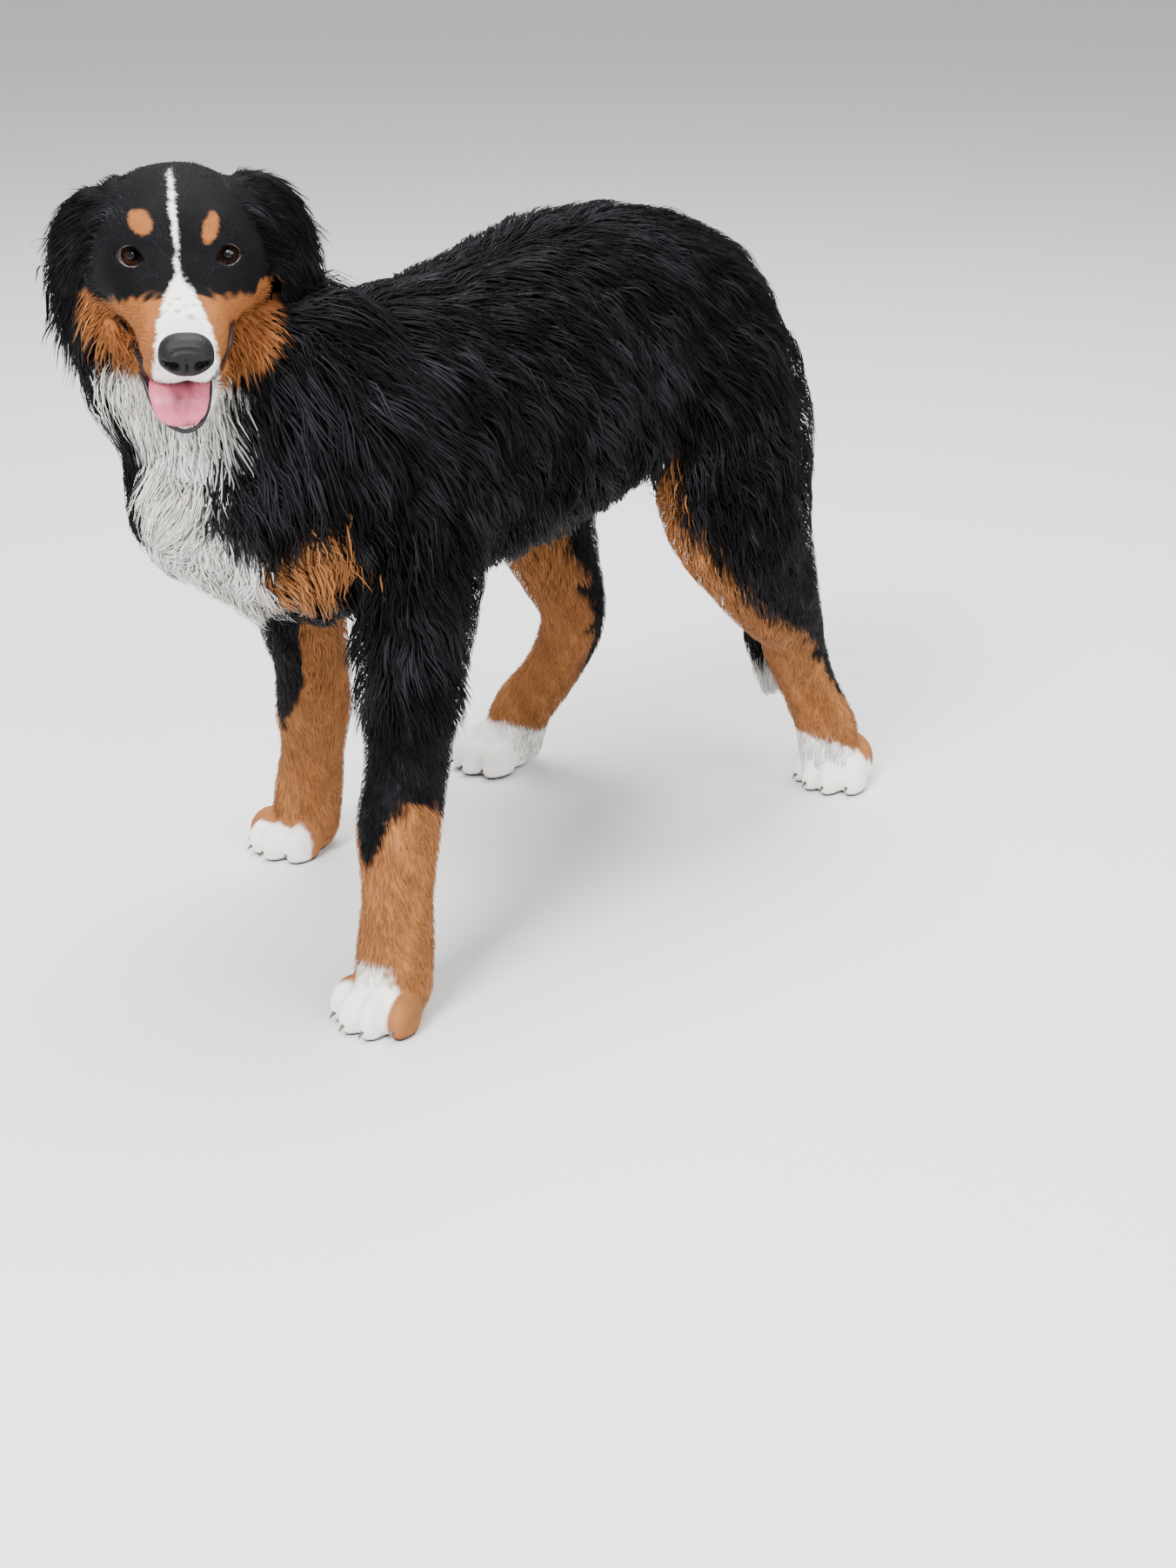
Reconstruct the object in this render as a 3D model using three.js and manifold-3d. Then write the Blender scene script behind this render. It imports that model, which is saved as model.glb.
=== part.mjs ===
// A young Bernese mountain dog, standing with its head turned to its left, at life size.
// Millimetres, +Z up. The dog faces -Y and its left side is +X.
import * as THREE from 'three';
import { mergeVertices } from 'three/addons/utils/BufferGeometryUtils.js';
import Module from 'manifold-3d';

const wasm = await Module();
wasm.setup();

// Driving dimensions
const gap = 0.3; // between two nodes that touch
const backHeight = 588; // top of the coat over the loins
const eyeSpacing = 66; // between the middles of the two eyes
const eyeRadius = 11.5;
const noseWidth = 37;
const headTurn = 55.5; // degrees that the face is turned to the dog's left
const headLean = 1; // degrees that the top of the head leans to its left
const skullCentre = [-15, -292, 595]; // level with the eyes, between the ears
const standingShift = [19, -15.5, 0]; // brings the middle of the whole dog's box over the origin
const earDrops = [4, 14]; // how much lower the left and the right ear are set than mirrored
const earFlare = 35; // degrees that the back edge of an ear stands off the head
const pawLength = 92;
const pawWidth = 76;
const pawSeam = 58; // height of the seam between a paw and its leg
const kneeSeam = 262; // height of the seam between a thigh and the leg below it
const coreShare = 0.5; // how much of the hair's depth the cores leave to the locks
const seamMargin = 3; // how far past the coat's outline a seam's cut reaches
const neckSeam = [0, -95, 545]; // the withers, where the neck's seam starts
const neckSlope = Math.atan2(115, 240); // and how it slopes down to the point of the chest
const paws = {
  fore_left: { at: [143, -250], heading: 12 },
  fore_right: { at: [-164, -94], heading: -6 },
  hind_left: { at: [87, 378], heading: 8 },
  hind_right: { at: [-180, 170], heading: -14 },
};

const black = 0x15141a;
const white = 0xe9e6e0;
const finishes = {
  coat: new THREE.MeshStandardMaterial({ color: black, roughness: 0.75, metalness: 0 }),
  white: new THREE.MeshStandardMaterial({ color: white, roughness: 0.85, metalness: 0 }),
  eye: new THREE.MeshStandardMaterial({ color: 0x2a1710, roughness: 0.08, metalness: 0 }),
  nose: new THREE.MeshStandardMaterial({ color: 0x111113, roughness: 0.35, metalness: 0 }),
  tongue: new THREE.MeshStandardMaterial({ color: 0xd9798c, roughness: 0.4, metalness: 0 }),
};

const vector = (x, y, z) => new THREE.Vector3(x, y, z);
const sideways = vector(1, 0, 0);
const down = vector(0, 0, -1);
const radians = THREE.MathUtils.degToRad;

// A small repeatable random source, so that the locks are varied but always the same
function seeded(seed) {
  let state = seed;
  return () => {
    state = (state * 1664525 + 1013904223) % 4294967296;
    return state / 4294967296;
  };
}

// Solids
function solidOf(geometry) {
  const bare = geometry.clone();
  bare.deleteAttribute('normal');
  bare.deleteAttribute('uv');
  const merged = mergeVertices(bare, 1e-4);
  return new wasm.Manifold(new wasm.Mesh({
    numProp: 3,
    vertProperties: new Float32Array(merged.attributes.position.array),
    triVerts: new Uint32Array(merged.index.array),
  }));
}

function solidFrom(points, triangles) {
  return new wasm.Manifold(new wasm.Mesh({
    numProp: 3,
    vertProperties: new Float32Array(points.flatMap((p) => [p.x, p.y, p.z])),
    triVerts: new Uint32Array(triangles.flat()),
  }));
}

function geometryOf(solid) {
  const mesh = solid.getMesh();
  const geometry = new THREE.BufferGeometry();
  geometry.setAttribute('position', new THREE.BufferAttribute(new Float32Array(mesh.vertProperties), 3));
  geometry.setIndex(new THREE.BufferAttribute(new Uint32Array(mesh.triVerts), 1));
  return geometry;
}

function placed(solid, matrix) {
  return solidOf(geometryOf(solid).applyMatrix4(matrix));
}

function joined(solids) {
  return solids.reduce((whole, piece) => whole.add(piece));
}

// The largest closed surface: scraps that a cut leaves behind are dropped, and sealed hollows filled.
// It is taken again once points that all but touch are merged, as that can close off a hollow.
function largest(solid) {
  const outermost = (whole) => whole.decompose().sort((a, b) => b.volume() - a.volume())[0];
  return outermost(solidOf(geometryOf(outermost(solid))));
}

function block(low, high) {
  const size = high.map((value, axis) => value - low[axis]);
  const geometry = new THREE.BoxGeometry(...size);
  geometry.translate(...high.map((value, axis) => (value + low[axis]) / 2));
  return solidOf(geometry);
}

function ellipsoid(at, radii, turn = 0, around = 12, along = 8) {
  const geometry = new THREE.SphereGeometry(1, around, along);
  geometry.scale(...radii);
  geometry.rotateZ(radians(turn));
  geometry.translate(...at);
  return solidOf(geometry);
}

// A form drawn through cross-sections. Each section has its centre, how far the coat reaches from
// it to both sides, over (side crossed with the way the form runs) and under, and the hair's depth.
class Form {
  constructor(sections, { sideAxis = sideways, swells = [], fullness = 2 } = {}) {
    const smooth = (points) => new THREE.CatmullRomCurve3(points, false, 'catmullrom', 0.5);
    this.centres = smooth(sections.map(({ at }) => vector(...at)));
    this.reaches = smooth(sections.map(({ reach }) => vector(...reach)));
    this.hairs = smooth(sections.map(({ hair }) => vector(hair, 0, 0)));
    this.length = this.centres.getLength();
    this.sideAxis = sideAxis;
    this.swells = swells;
    this.fullness = fullness;
  }

  frame(u) {
    const tangent = this.centres.getTangent(THREE.MathUtils.clamp(u, 0, 1));
    const side = this.sideAxis.clone().addScaledVector(tangent, -this.sideAxis.dot(tangent)).normalize();
    const over = side.clone().cross(tangent);
    return { centre: this.centres.getPoint(THREE.MathUtils.clamp(u, 0, 1)), tangent, side, over };
  }

  // How far the core lies under the outline
  depth(u) {
    return coreShare * this.hairs.getPoint(THREE.MathUtils.clamp(u, 0, 1)).x;
  }

  // The point at share u of the length and angle v round from 'over' towards the side,
  // lift being its height over the outline
  point(u, v, lift = 0) {
    const { centre, side, over } = this.frame(u);
    const reach = this.reaches.getPoint(THREE.MathUtils.clamp(u, 0, 1));
    const round = (value) => Math.sign(value) * Math.abs(value) ** (2 / this.fullness);
    const across = Math.max(reach.x + lift, 2) * round(Math.sin(v));
    const upright = (Math.cos(v) > 0 ? reach.y : reach.z) + lift;
    const outward = side.clone().multiplyScalar(across).addScaledVector(over, upright * round(Math.cos(v)));
    const spot = centre.add(outward);
    outward.normalize();
    for (const { at, radius, rise } of this.swells) {
      const nearness = Math.exp(-spot.distanceToSquared(vector(...at)) / radius ** 2);
      spot.addScaledVector(outward, rise * nearness);
    }
    return spot;
  }

  normal(u, v, lift = 0) {
    const step = 0.002;
    const along = this.point(u + step, v, lift).sub(this.point(u - step, v, lift));
    const around = this.point(u, v + step, lift).sub(this.point(u, v - step, lift));
    return around.cross(along).normalize();
  }

  solid({ rings, sides, lift = 0, cap = 0, core = false }) {
    const inset = core ? this.depth(0) / this.length : 0; // a core stops short of the outline's ends too
    const points = [];
    const triangles = [];
    for (let i = 0; i < rings; i += 1) {
      const u = inset + (1 - 2 * inset) * (i / (rings - 1));
      const height = core ? lift - this.depth(u) : lift;
      for (let j = 0; j < sides; j += 1) {
        points.push(this.point(u, (2 * Math.PI * j) / sides, height));
      }
    }
    const start = this.frame(inset);
    const end = this.frame(1 - inset);
    const reachOut = cap + Math.max(lift, 0);
    points.push(start.centre.addScaledVector(start.tangent, -reachOut));
    points.push(end.centre.addScaledVector(end.tangent, reachOut));
    const first = rings * sides;
    const last = first + 1;
    for (let j = 0; j < sides; j += 1) {
      const next = (j + 1) % sides;
      for (let i = 0; i < rings - 1; i += 1) {
        const [a, b, c, d] = [i * sides + j, i * sides + next, (i + 1) * sides + next, (i + 1) * sides + j];
        triangles.push([a, b, c], [a, c, d]);
      }
      triangles.push([first, next, j]);
      triangles.push([last, (rings - 1) * sides + j, (rings - 1) * sides + next]);
    }
    return solidFrom(points, triangles);
  }

  // Whether a place lies inside the form's core
  holds(place) {
    const steps = 40;
    let nearest = { distance: Infinity, u: 0 };
    for (let i = 0; i <= steps; i += 1) {
      const distance = this.centres.getPoint(i / steps).distanceTo(place);
      if (distance < nearest.distance) nearest = { distance, u: i / steps };
    }
    const { centre, tangent, side, over } = this.frame(nearest.u);
    const reach = this.reaches.getPoint(nearest.u);
    const depth = this.depth(nearest.u);
    const offset = place.clone().sub(centre);
    if (Math.abs(offset.dot(tangent)) > this.length / steps) return false;
    const upright = offset.dot(over);
    const across = offset.dot(side) / Math.max(reach.x - depth, 1);
    const high = upright / Math.max((upright > 0 ? reach.y : reach.z) - depth, 1);
    return across ** 2 + high ** 2 < 1;
  }
}

const section = (at, side, over, under, hair = 0) => ({ at, reach: [side, over, under], hair });

// A lock of hair: a flat tapered ribbon with a raised ridge and a keel down to the core, rooted below
// it, that follows the form where the coat is combed, rises to the outline and bends
const lockTaper = [0.75, 1, 0.7];
const lockRise = [-0.4, 0.45, 0.95, 0.72]; // height over the core along the lock, in coat depths

function lock(form, { u, v, length, width, depth, comb, wave = 0, hang = 1, droop = 0.5, grow = 0 }) {
  const points = [];
  const triangles = [];
  const rings = lockTaper.length;
  const step = length / rings;
  let place = null;
  let direction = null;
  let normal = null;
  for (let k = 0; k <= rings; k += 1) {
    const t = k / rings;
    const lift = -depth + depth * lockRise[k];
    if (t <= hang || place === null) {
      place = form.point(u, v, lift);
      normal = form.normal(u, v, lift);
      direction = comb(place, normal);
      direction.addScaledVector(normal, -direction.dot(normal)).normalize();
      const bend = wave * Math.sin(2.2 * Math.PI * t + 0.6);
      direction.addScaledVector(normal.clone().cross(direction), bend).normalize();
    } else {
      direction.addScaledVector(down, droop).normalize();
      place = place.clone().addScaledVector(direction, step);
    }
    if (k === rings) {
      points.push(place.clone().addScaledVector(direction, grow));
      break;
    }
    const across = normal.clone().cross(direction).normalize();
    const half = (width / 2) * lockTaper[k] + 4 * grow; // more than the ridge, as the edge is sharp
    const ridge = 0.1 * width * lockTaper[k] + grow;
    const keel = Math.max(depth * lockRise[k], 0) + ridge;
    points.push(place.clone().addScaledVector(across, half).addScaledVector(normal, -ridge));
    points.push(place.clone().addScaledVector(normal, ridge));
    points.push(place.clone().addScaledVector(across, -half).addScaledVector(normal, -ridge));
    points.push(place.clone().addScaledVector(normal, -keel - ridge));
    const small = 0.004;
    const along = form.point(u + small, v, lift).sub(form.point(u, v, lift)).divideScalar(small);
    const around = form.point(u, v + small, lift).sub(form.point(u, v, lift)).divideScalar(small);
    u = THREE.MathUtils.clamp(u + (step * direction.dot(along)) / along.lengthSq(), 0.005, 0.995);
    v += (step * direction.dot(around)) / around.lengthSq();
  }
  triangles.push([0, 2, 1], [0, 3, 2]);
  for (let k = 0; k < rings; k += 1) {
    for (let j = 0; j < 4; j += 1) {
      const a = k * 4 + j;
      const b = k * 4 + ((j + 1) % 4);
      if (k === rings - 1) triangles.push([a, b, rings * 4]);
      else triangles.push([a, b, b + 4], [a, b + 4, a + 4]);
    }
  }
  return solidFrom(points, triangles);
}

// Rows of locks over a stretch of a form, each row set between the locks of the one before.
// A lock is left out where another form covers its root.
function locksOver(form, { rows, from, to, spread, reach = [0, 2 * Math.PI], seed, covered = [], ...style }) {
  const random = seeded(seed);
  const pieces = [];
  for (let row = 0; row < rows; row += 1) {
    const u = from + ((to - from) * (row + 0.5)) / rows;
    const { x: wide, y: high, z: low } = form.reaches.getPoint(u);
    const girth = Math.PI * (wide + (high + low) / 2) * ((reach[1] - reach[0]) / (2 * Math.PI));
    const count = Math.max(2, Math.round(girth / spread));
    for (let column = 0; column < count; column += 1) {
      const offset = row % 2 === 0 ? 0.25 : 0.75;
      const v = reach[0] + ((reach[1] - reach[0]) * (column + offset + 0.25 * (random() - 0.5))) / count;
      const length = style.length * (0.85 + 0.3 * random());
      const width = style.width * (0.88 + 0.24 * random());
      const wave = style.wave * (0.4 + 1.2 * random()) * (random() < 0.5 ? -1 : 1);
      const depth = style.depth ?? form.depth(u);
      const root = form.point(u, v, -depth);
      const tip = form.point(THREE.MathUtils.clamp(u + (0.5 * length) / form.length, 0, 1), v, -depth);
      if (covered.some((other) => other.holds(root) || other.holds(tip))) continue;
      pieces.push({ ...style, u: u + 0.02 * (random() - 0.5), v, length, width, wave, depth });
    }
  }
  return pieces;
}

const combed = (...way) => () => vector(...way).normalize();

// Trunk, from the point of the chest to the rump
const trunk = new Form([
  section([-4, -340, 394], 28, 28, 28, 36),
  section([-4, -318, 396], 68, 70, 62, 38),
  section([-3, -278, 403], 98, 104, 102, 40),
  section([0, -222, 412], 117, 126, 130, 40),
  section([0, -150, 420], 126, 132, 138, 38),
  section([0, -80, 426], 131, 128, 139, 36),
  section([0, 0, 430], 132, 137, 132, 36),
  section([-2, 80, 438], 127, backHeight - 440, 120, 36),
  section([-5, 150, 446], 120, backHeight - 446, 110, 36),
  section([-8, 210, 450], 112, 124, 100, 36),
  section([-10, 260, 440], 100, 96, 90, 36),
  section([-10, 299, 424], 78, 62, 72, 36),
  section([-10, 326, 410], 44, 32, 42, 34),
], { fullness: 2.1 });

// Neck, from behind the skull down into the shoulders
const neck = new Form([
  section([-26, -262, 592], 54, 42, 52, 36),
  section([-34, -266, 560], 92, 70, 92, 44),
  section([-34, -255, 522], 114, 88, 107, 48),
  section([-22, -223, 484], 122, 98, 116, 48),
  section([-6, -175, 450], 118, 98, 112, 46),
  section([0, -118, 430], 92, 80, 90, 40),
]);

// Legs, from within the trunk down to the paw: 'over' is the back of the leg
const legs = {
  fore_left: new Form([
    section([66, -138, 455], 30, 50, 48, 30),
    section([80, -146, 400], 44, 66, 62, 30),
    section([90, -160, 345], 47, 62, 58, 26),
    section([103, -176, 295], 43, 51, 50, 18),
    section([115, -194, 245], 37, 43, 42, 12),
    section([127, -212, 195], 32, 38, 34, 6),
    section([135, -226, 152], 32, 34, 38, 0),
    section([140, -236, 105], 29, 32, 29, 0),
    section([142, -241, 60], 31, 33, 31, 0),
    section([143, -245, 22], 33, 31, 33, 0),
  ]),
  fore_right: new Form([
    section([-62, -138, 455], 30, 50, 48, 30),
    section([-78, -140, 400], 44, 64, 62, 30),
    section([-91, -140, 345], 47, 60, 58, 26),
    section([-102, -134, 290], 43, 50, 48, 18),
    section([-110, -122, 240], 37, 42, 40, 12),
    section([-117, -110, 195], 32, 37, 34, 6),
    section([-126, -101, 150], 32, 34, 37, 0),
    section([-142, -94, 105], 29, 32, 29, 0),
    section([-156, -89, 60], 31, 33, 31, 0),
    section([-162, -88, 22], 33, 31, 33, 0),
  ]),
  hind_left: new Form([
    section([58, 208, 500], 30, 50, 58, 36),
    section([72, 208, 450], 52, 84, 92, 36),
    section([86, 204, 390], 58, 92, 92, 36),
    section([98, 202, 330], 56, 86, 84, 32),
    section([101, 222, 280], 46, 68, 66, 24),
    section([94, 262, 222], 37, 52, 46, 12),
    section([78, 304, 180], 31, 38, 33, 4),
    section([66, 330, 142], 30, 32, 31, 0),
    section([72, 348, 98], 28, 28, 28, 0),
    section([81, 362, 60], 30, 30, 31, 0),
    section([85, 369, 22], 31, 30, 33, 0),
  ]),
  hind_right: new Form([
    section([-62, 202, 500], 30, 50, 58, 36),
    section([-76, 196, 450], 52, 84, 92, 36),
    section([-90, 182, 390], 58, 88, 90, 36),
    section([-103, 166, 330], 56, 78, 76, 32),
    section([-110, 166, 275], 46, 60, 58, 24),
    section([-112, 186, 220], 37, 48, 42, 12),
    section([-114, 205, 178], 31, 40, 33, 4),
    section([-120, 209, 142], 30, 34, 31, 0),
    section([-140, 200, 98], 28, 30, 29, 0),
    section([-164, 188, 60], 30, 31, 31, 0),
    section([-174, 182, 22], 31, 31, 33, 0),
  ]),
};

// Tail, hanging behind the thighs and bending forward to its tip
const tail = new Form([
  section([-12, 288, 480], 26, 24, 26, 22),
  section([-18, 314, 452], 34, 30, 34, 24),
  section([-32, 336, 404], 37, 32, 34, 26),
  section([-38, 354, 342], 38, 33, 33, 28),
  section([-34, 364, 278], 36, 32, 31, 28),
  section([-22, 367, 206], 32, 30, 28, 26),
  section([-5, 364, 138], 25, 24, 22, 20),
  section([9, 360, 84], 13, 13, 13, 10),
]);

// One paw: a low pad, four toes with their claws and the two outer ones set back
function pawPieces({ at, heading }) {
  const turned = (x, y, z) => {
    const [c, s] = [Math.cos(radians(heading)), Math.sin(radians(heading))];
    return [at[0] + x * c - y * s, at[1] + x * s + y * c, z];
  };
  const pieces = [ellipsoid(turned(0, 4, 22), [pawWidth * 0.42, pawLength * 0.38, 31], heading, 8, 5)];
  for (const place of [-1.5, -0.5, 0.5, 1.5]) {
    const inner = Math.abs(place) < 1;
    const ahead = inner ? -0.3 : -0.16;
    const x = place * pawWidth * 0.235;
    const toe = turned(x, pawLength * ahead, 15);
    pieces.push(ellipsoid(toe, [pawWidth * 0.155, pawLength * 0.24, 22], heading + place * 6, 6, 4));
    const claw = new THREE.ConeGeometry(3.6, 15, 4);
    claw.rotateX(radians(118));
    claw.rotateZ(radians(heading + place * 6));
    claw.translate(...turned(x * 1.04, pawLength * (ahead - 0.23), 8.5));
    pieces.push(solidOf(claw));
  }
  return pieces;
}

// Head, in its own frame: x to the dog's left, y backwards, z up, the eyes at height 0
const headMatrix = new THREE.Matrix4().compose(
  vector(...skullCentre),
  new THREE.Quaternion().setFromEuler(new THREE.Euler(0, radians(headLean), radians(headTurn), 'ZYX')),
  vector(1, 1, 1),
);

function mirroredSwells(swells) {
  return swells.flatMap(({ at: [x, y, z], ...rest }) => [-1, 1].map((hand) => ({ at: [hand * x, y, z], ...rest })));
}

const skull = new Form([
  section([0, -138, -59], 15, 10, 10),
  section([0, -132, -56], 24, 18, 16),
  section([0, -118, -52], 29, 23, 20),
  section([0, -101, -47], 32, 26, 22),
  section([0, -86, -42], 36, 27, 22),
  section([0, -71, -35], 43, 31, 25),
  section([0, -56, -24], 54, 40, 40),
  section([0, -40, -14], 62, 55, 55),
  section([0, -20, -8], 66, 63, 60),
  section([0, 4, -6], 67, 64, 58),
  section([0, 28, -6], 65, 59, 54),
  section([0, 52, -8], 57, 49, 47),
  section([0, 72, -11], 42, 34, 36),
  section([0, 84, -14], 20, 16, 18),
], {
  swells: [
    { at: [0, -60, 6], radius: 15, rise: -3.5 }, // the furrow of the brow
    ...mirroredSwells([
      { at: [24, -58, 22], radius: 14, rise: 3.5 }, // brow
      { at: [58, -28, -44], radius: 26, rise: 6 }, // cheek
      { at: [25, -104, -64], radius: 18, rise: 4 }, // upper lip
      { at: [20, -76, -14], radius: 14, rise: -3 }, // hollow beside the bridge
    ]),
  ],
});

const jaw = new Form([
  section([0, -118, -104], 11, 4, 5),
  section([0, -112, -102], 18, 7, 8),
  section([0, -98, -97], 22, 8, 11),
  section([0, -80, -89], 27, 10, 14),
  section([0, -62, -80], 32, 13, 17),
  section([0, -40, -72], 38, 15, 22),
  section([0, -15, -68], 42, 15, 26),
  section([0, 6, -70], 34, 12, 20),
]);

const tongue = new Form([
  section([0, -124, -104], 9, 2.5, 2),
  section([0, -125, -97], 17, 3.5, 2.5),
  section([0, -122, -88], 20.5, 4, 3),
  section([0, -113, -81], 21, 4, 3.5),
  section([0, -98, -77], 21, 4, 3.5),
  section([0, -80, -72], 20, 4, 3.5),
  section([0, -64, -67], 17, 3.5, 3),
]);

const noseLeather = new Form([
  section([0, -151, -52], 8, 6, 6),
  section([0, -148, -52], noseWidth * 0.36, 10, 10),
  section([0, -141, -51], noseWidth * 0.5, 14, 13.5),
  section([0, -131, -48], noseWidth * 0.48, 14, 12),
  section([0, -121, -46], noseWidth * 0.3, 9, 8),
]);

function earForm(hand) {
  const lift = 4 - (hand > 0 ? earDrops[0] : earDrops[1]);
  return new Form([
    section([hand * 46, 6, 42 + lift], 15, 8, 1),
    section([hand * 58, 4, 40 + lift], 18, 8, 0),
    section([hand * 70 + 2, 3, 30 + lift], 24, 8, -1.5),
    section([hand * 79 + 3, 3, 12 + lift], 29, 8, -2.5),
    section([hand * 83 + 5, 4, -10 + lift], 30, 8, -2.5),
    section([hand * 83 + 6, 3, -32 + lift], 25, 7, -2.5),
    section([hand * 82 + 6, 1, -50 + lift], 17, 5.5, -1.5),
    section([hand * 81 + 6, 0, -61 + lift], 7, 3.5, -0.5),
  ], { sideAxis: vector(-Math.sin(radians(earFlare)), -hand * Math.cos(radians(earFlare)), 0) });
}

const eyePlace = (hand) => [hand * eyeSpacing / 2, -48, 0];

// The opening between the lids, as a rod of almond section through the lids
function lidOpening(hand) {
  const almond = new THREE.Shape();
  almond.moveTo(-11.5, -2.5);
  almond.quadraticCurveTo(-3, 15, 11, 1);
  almond.quadraticCurveTo(3, -14, -11.5, -2.5);
  const rod = new THREE.ExtrudeGeometry(almond, { depth: 30, bevelEnabled: false, curveSegments: 4 });
  rod.rotateX(radians(90));
  if (hand < 0) {
    rod.scale(-1, 1, 1);
    rod.index = null;
    const order = rod.attributes.position.array;
    for (let i = 0; i < order.length; i += 9) {
      for (let axis = 0; axis < 3; axis += 1) {
        [order[i + axis], order[i + 3 + axis]] = [order[i + 3 + axis], order[i + axis]];
      }
    }
  }
  rod.rotateX(radians(-8));
  rod.rotateZ(radians(hand * 6));
  const [x, y, z] = eyePlace(hand);
  rod.translate(x, y, z);
  return solidOf(rod);
}

function ball(at, radius) {
  return ellipsoid(at, [radius, radius, radius], 0, 12, 8);
}

// The pieces of the head, with a way to make each one thicker for cutting its neighbours
function headSolids() {
  const lid = 2.3;
  const nostrils = [-1, 1].flatMap((hand) => [
    ellipsoid([hand * 9, -150, -54], [3.6, 6, 3.4], hand * 20, 8, 5),
    ellipsoid([hand * 14.5, -144, -57.5], [4, 6, 1.8], hand * 40, 6, 4),
  ]);
  const noseSolid = joined([noseLeather.solid({ rings: 7, sides: 10, cap: 0.8 })])
    .subtract(joined(nostrils));
  const skullSolid = (lift) => joined([
    skull.solid({ rings: 22, sides: 24, lift, cap: 1 }),
    ...[-1, 1].map((hand) => ball(eyePlace(hand), eyeRadius + lid + lift)),
  ]);
  const head = skullSolid(0)
    .subtract(noseLeather.solid({ rings: 7, sides: 10, lift: gap, cap: 0.8 }))
    .subtract(joined([-1, 1].map((hand) => ball(eyePlace(hand), eyeRadius + gap))))
    .subtract(joined([-1, 1].map(lidOpening)));
  const grownSkull = skullSolid(gap);
  const jawSolid = jaw.solid({ rings: 10, sides: 12, cap: 1 }).subtract(grownSkull);
  const grownJaw = jaw.solid({ rings: 10, sides: 12, lift: gap, cap: 1 });
  const tongueSolid = tongue.solid({ rings: 9, sides: 10, cap: 1 }).subtract(grownSkull).subtract(grownJaw);
  const grownTongue = tongue.solid({ rings: 9, sides: 10, lift: gap, cap: 1 });
  const ears = [-1, 1].map((hand) => {
    const form = earForm(hand);
    const outer = locksOver(form, {
      rows: 2, from: 0.3, to: 0.72, spread: 38, reach: [-0.45 * Math.PI, 0.45 * Math.PI],
      seed: 40 + hand, length: 50, width: 22, depth: 1, wave: 0.12, hang: 0.6, droop: 0.2,
      comb: () => vector(hand * 0.12, 0.1, -1),
    });
    const solid = (grow) => joined([
      form.solid({ rings: 8, sides: 10, lift: grow, cap: 1 }),
      ...outer.map((style) => lock(form, { ...style, grow })),
    ]);
    return { name: hand > 0 ? 'ear_left' : 'ear_right', solid: solid(0).subtract(grownSkull), grown: solid(gap) };
  });
  return {
    pieces: {
      head,
      lower_jaw: jawSolid,
      tongue: tongueSolid,
      nose: noseSolid,
      eye_left: ball(eyePlace(1), eyeRadius),
      eye_right: ball(eyePlace(-1), eyeRadius),
      [ears[0].name]: ears[0].solid,
      [ears[1].name]: ears[1].solid,
    },
    grown: [grownSkull, grownJaw, grownTongue, ears[0].grown, ears[1].grown]
      .map((solid) => placed(solid, headMatrix)),
  };
}

// The body with all its locks, before it is parted
function bodySolid() {
  const trunkLocks = locksOver(trunk, {
    rows: 7, from: 0.03, to: 0.95, spread: 84, seed: 7, covered: [neck, tail, ...Object.values(legs)],
    length: 148, width: 58, wave: 0.18, comb: combed(0, 0.66, -0.6),
  });
  const neckLocks = locksOver(neck, {
    rows: 3, from: 0.14, to: 0.8, spread: 76, seed: 11, covered: [],
    length: 148, width: 60, wave: 0.16, comb: combed(0, 0.42, -0.9),
  });
  const tailLocks = locksOver(tail, {
    rows: 3, from: 0.2, to: 0.9, spread: 110, seed: 5, covered: [trunk],
    length: 110, width: 34, wave: 0.12, comb: combed(0.1, 0.1, -1), hang: 0.7, droop: 0.3,
  });
  const pieces = [
    trunk.solid({ rings: 13, sides: 16, core: true, cap: 4 }),
    neck.solid({ rings: 7, sides: 14, core: true, cap: 2 }),
    tail.solid({ rings: 7, sides: 6, core: true, cap: 3 }),
    ...trunkLocks.map((style) => lock(trunk, style)),
    ...neckLocks.map((style) => lock(neck, style)),
    ...tailLocks.map((style) => lock(tail, style)),
  ];
  for (const [name, form] of Object.entries(legs)) {
    const hand = name.endsWith('left') ? 1 : -1;
    const hind = name.startsWith('hind');
    const outer = [(0.15 * hand - 0.5) * Math.PI, (0.15 * hand + 0.5) * Math.PI];
    const legLocks = locksOver(form, hind
      ? { rows: 2, from: 0.14, to: 0.5, spread: 60, seed: 21 + hand, reach: outer, covered: [],
        length: 140, width: 50, wave: 0.15, comb: combed(0, 0.3, -1) }
      : { rows: 2, from: 0.2, to: 0.52, spread: 54, seed: 31 + hand, reach: outer, covered: [],
        length: 96, width: 36, wave: 0.12, comb: combed(0, 0.22, -1), hang: 0.7, droop: 0.3 });
    pieces.push(form.solid({ rings: 12, sides: 9, core: true, cap: 2 }));
    pieces.push(...legLocks.map((style) => lock(form, style)));
    pieces.push(...pawPieces(paws[name]));
  }
  return joined(pieces);
}

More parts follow.
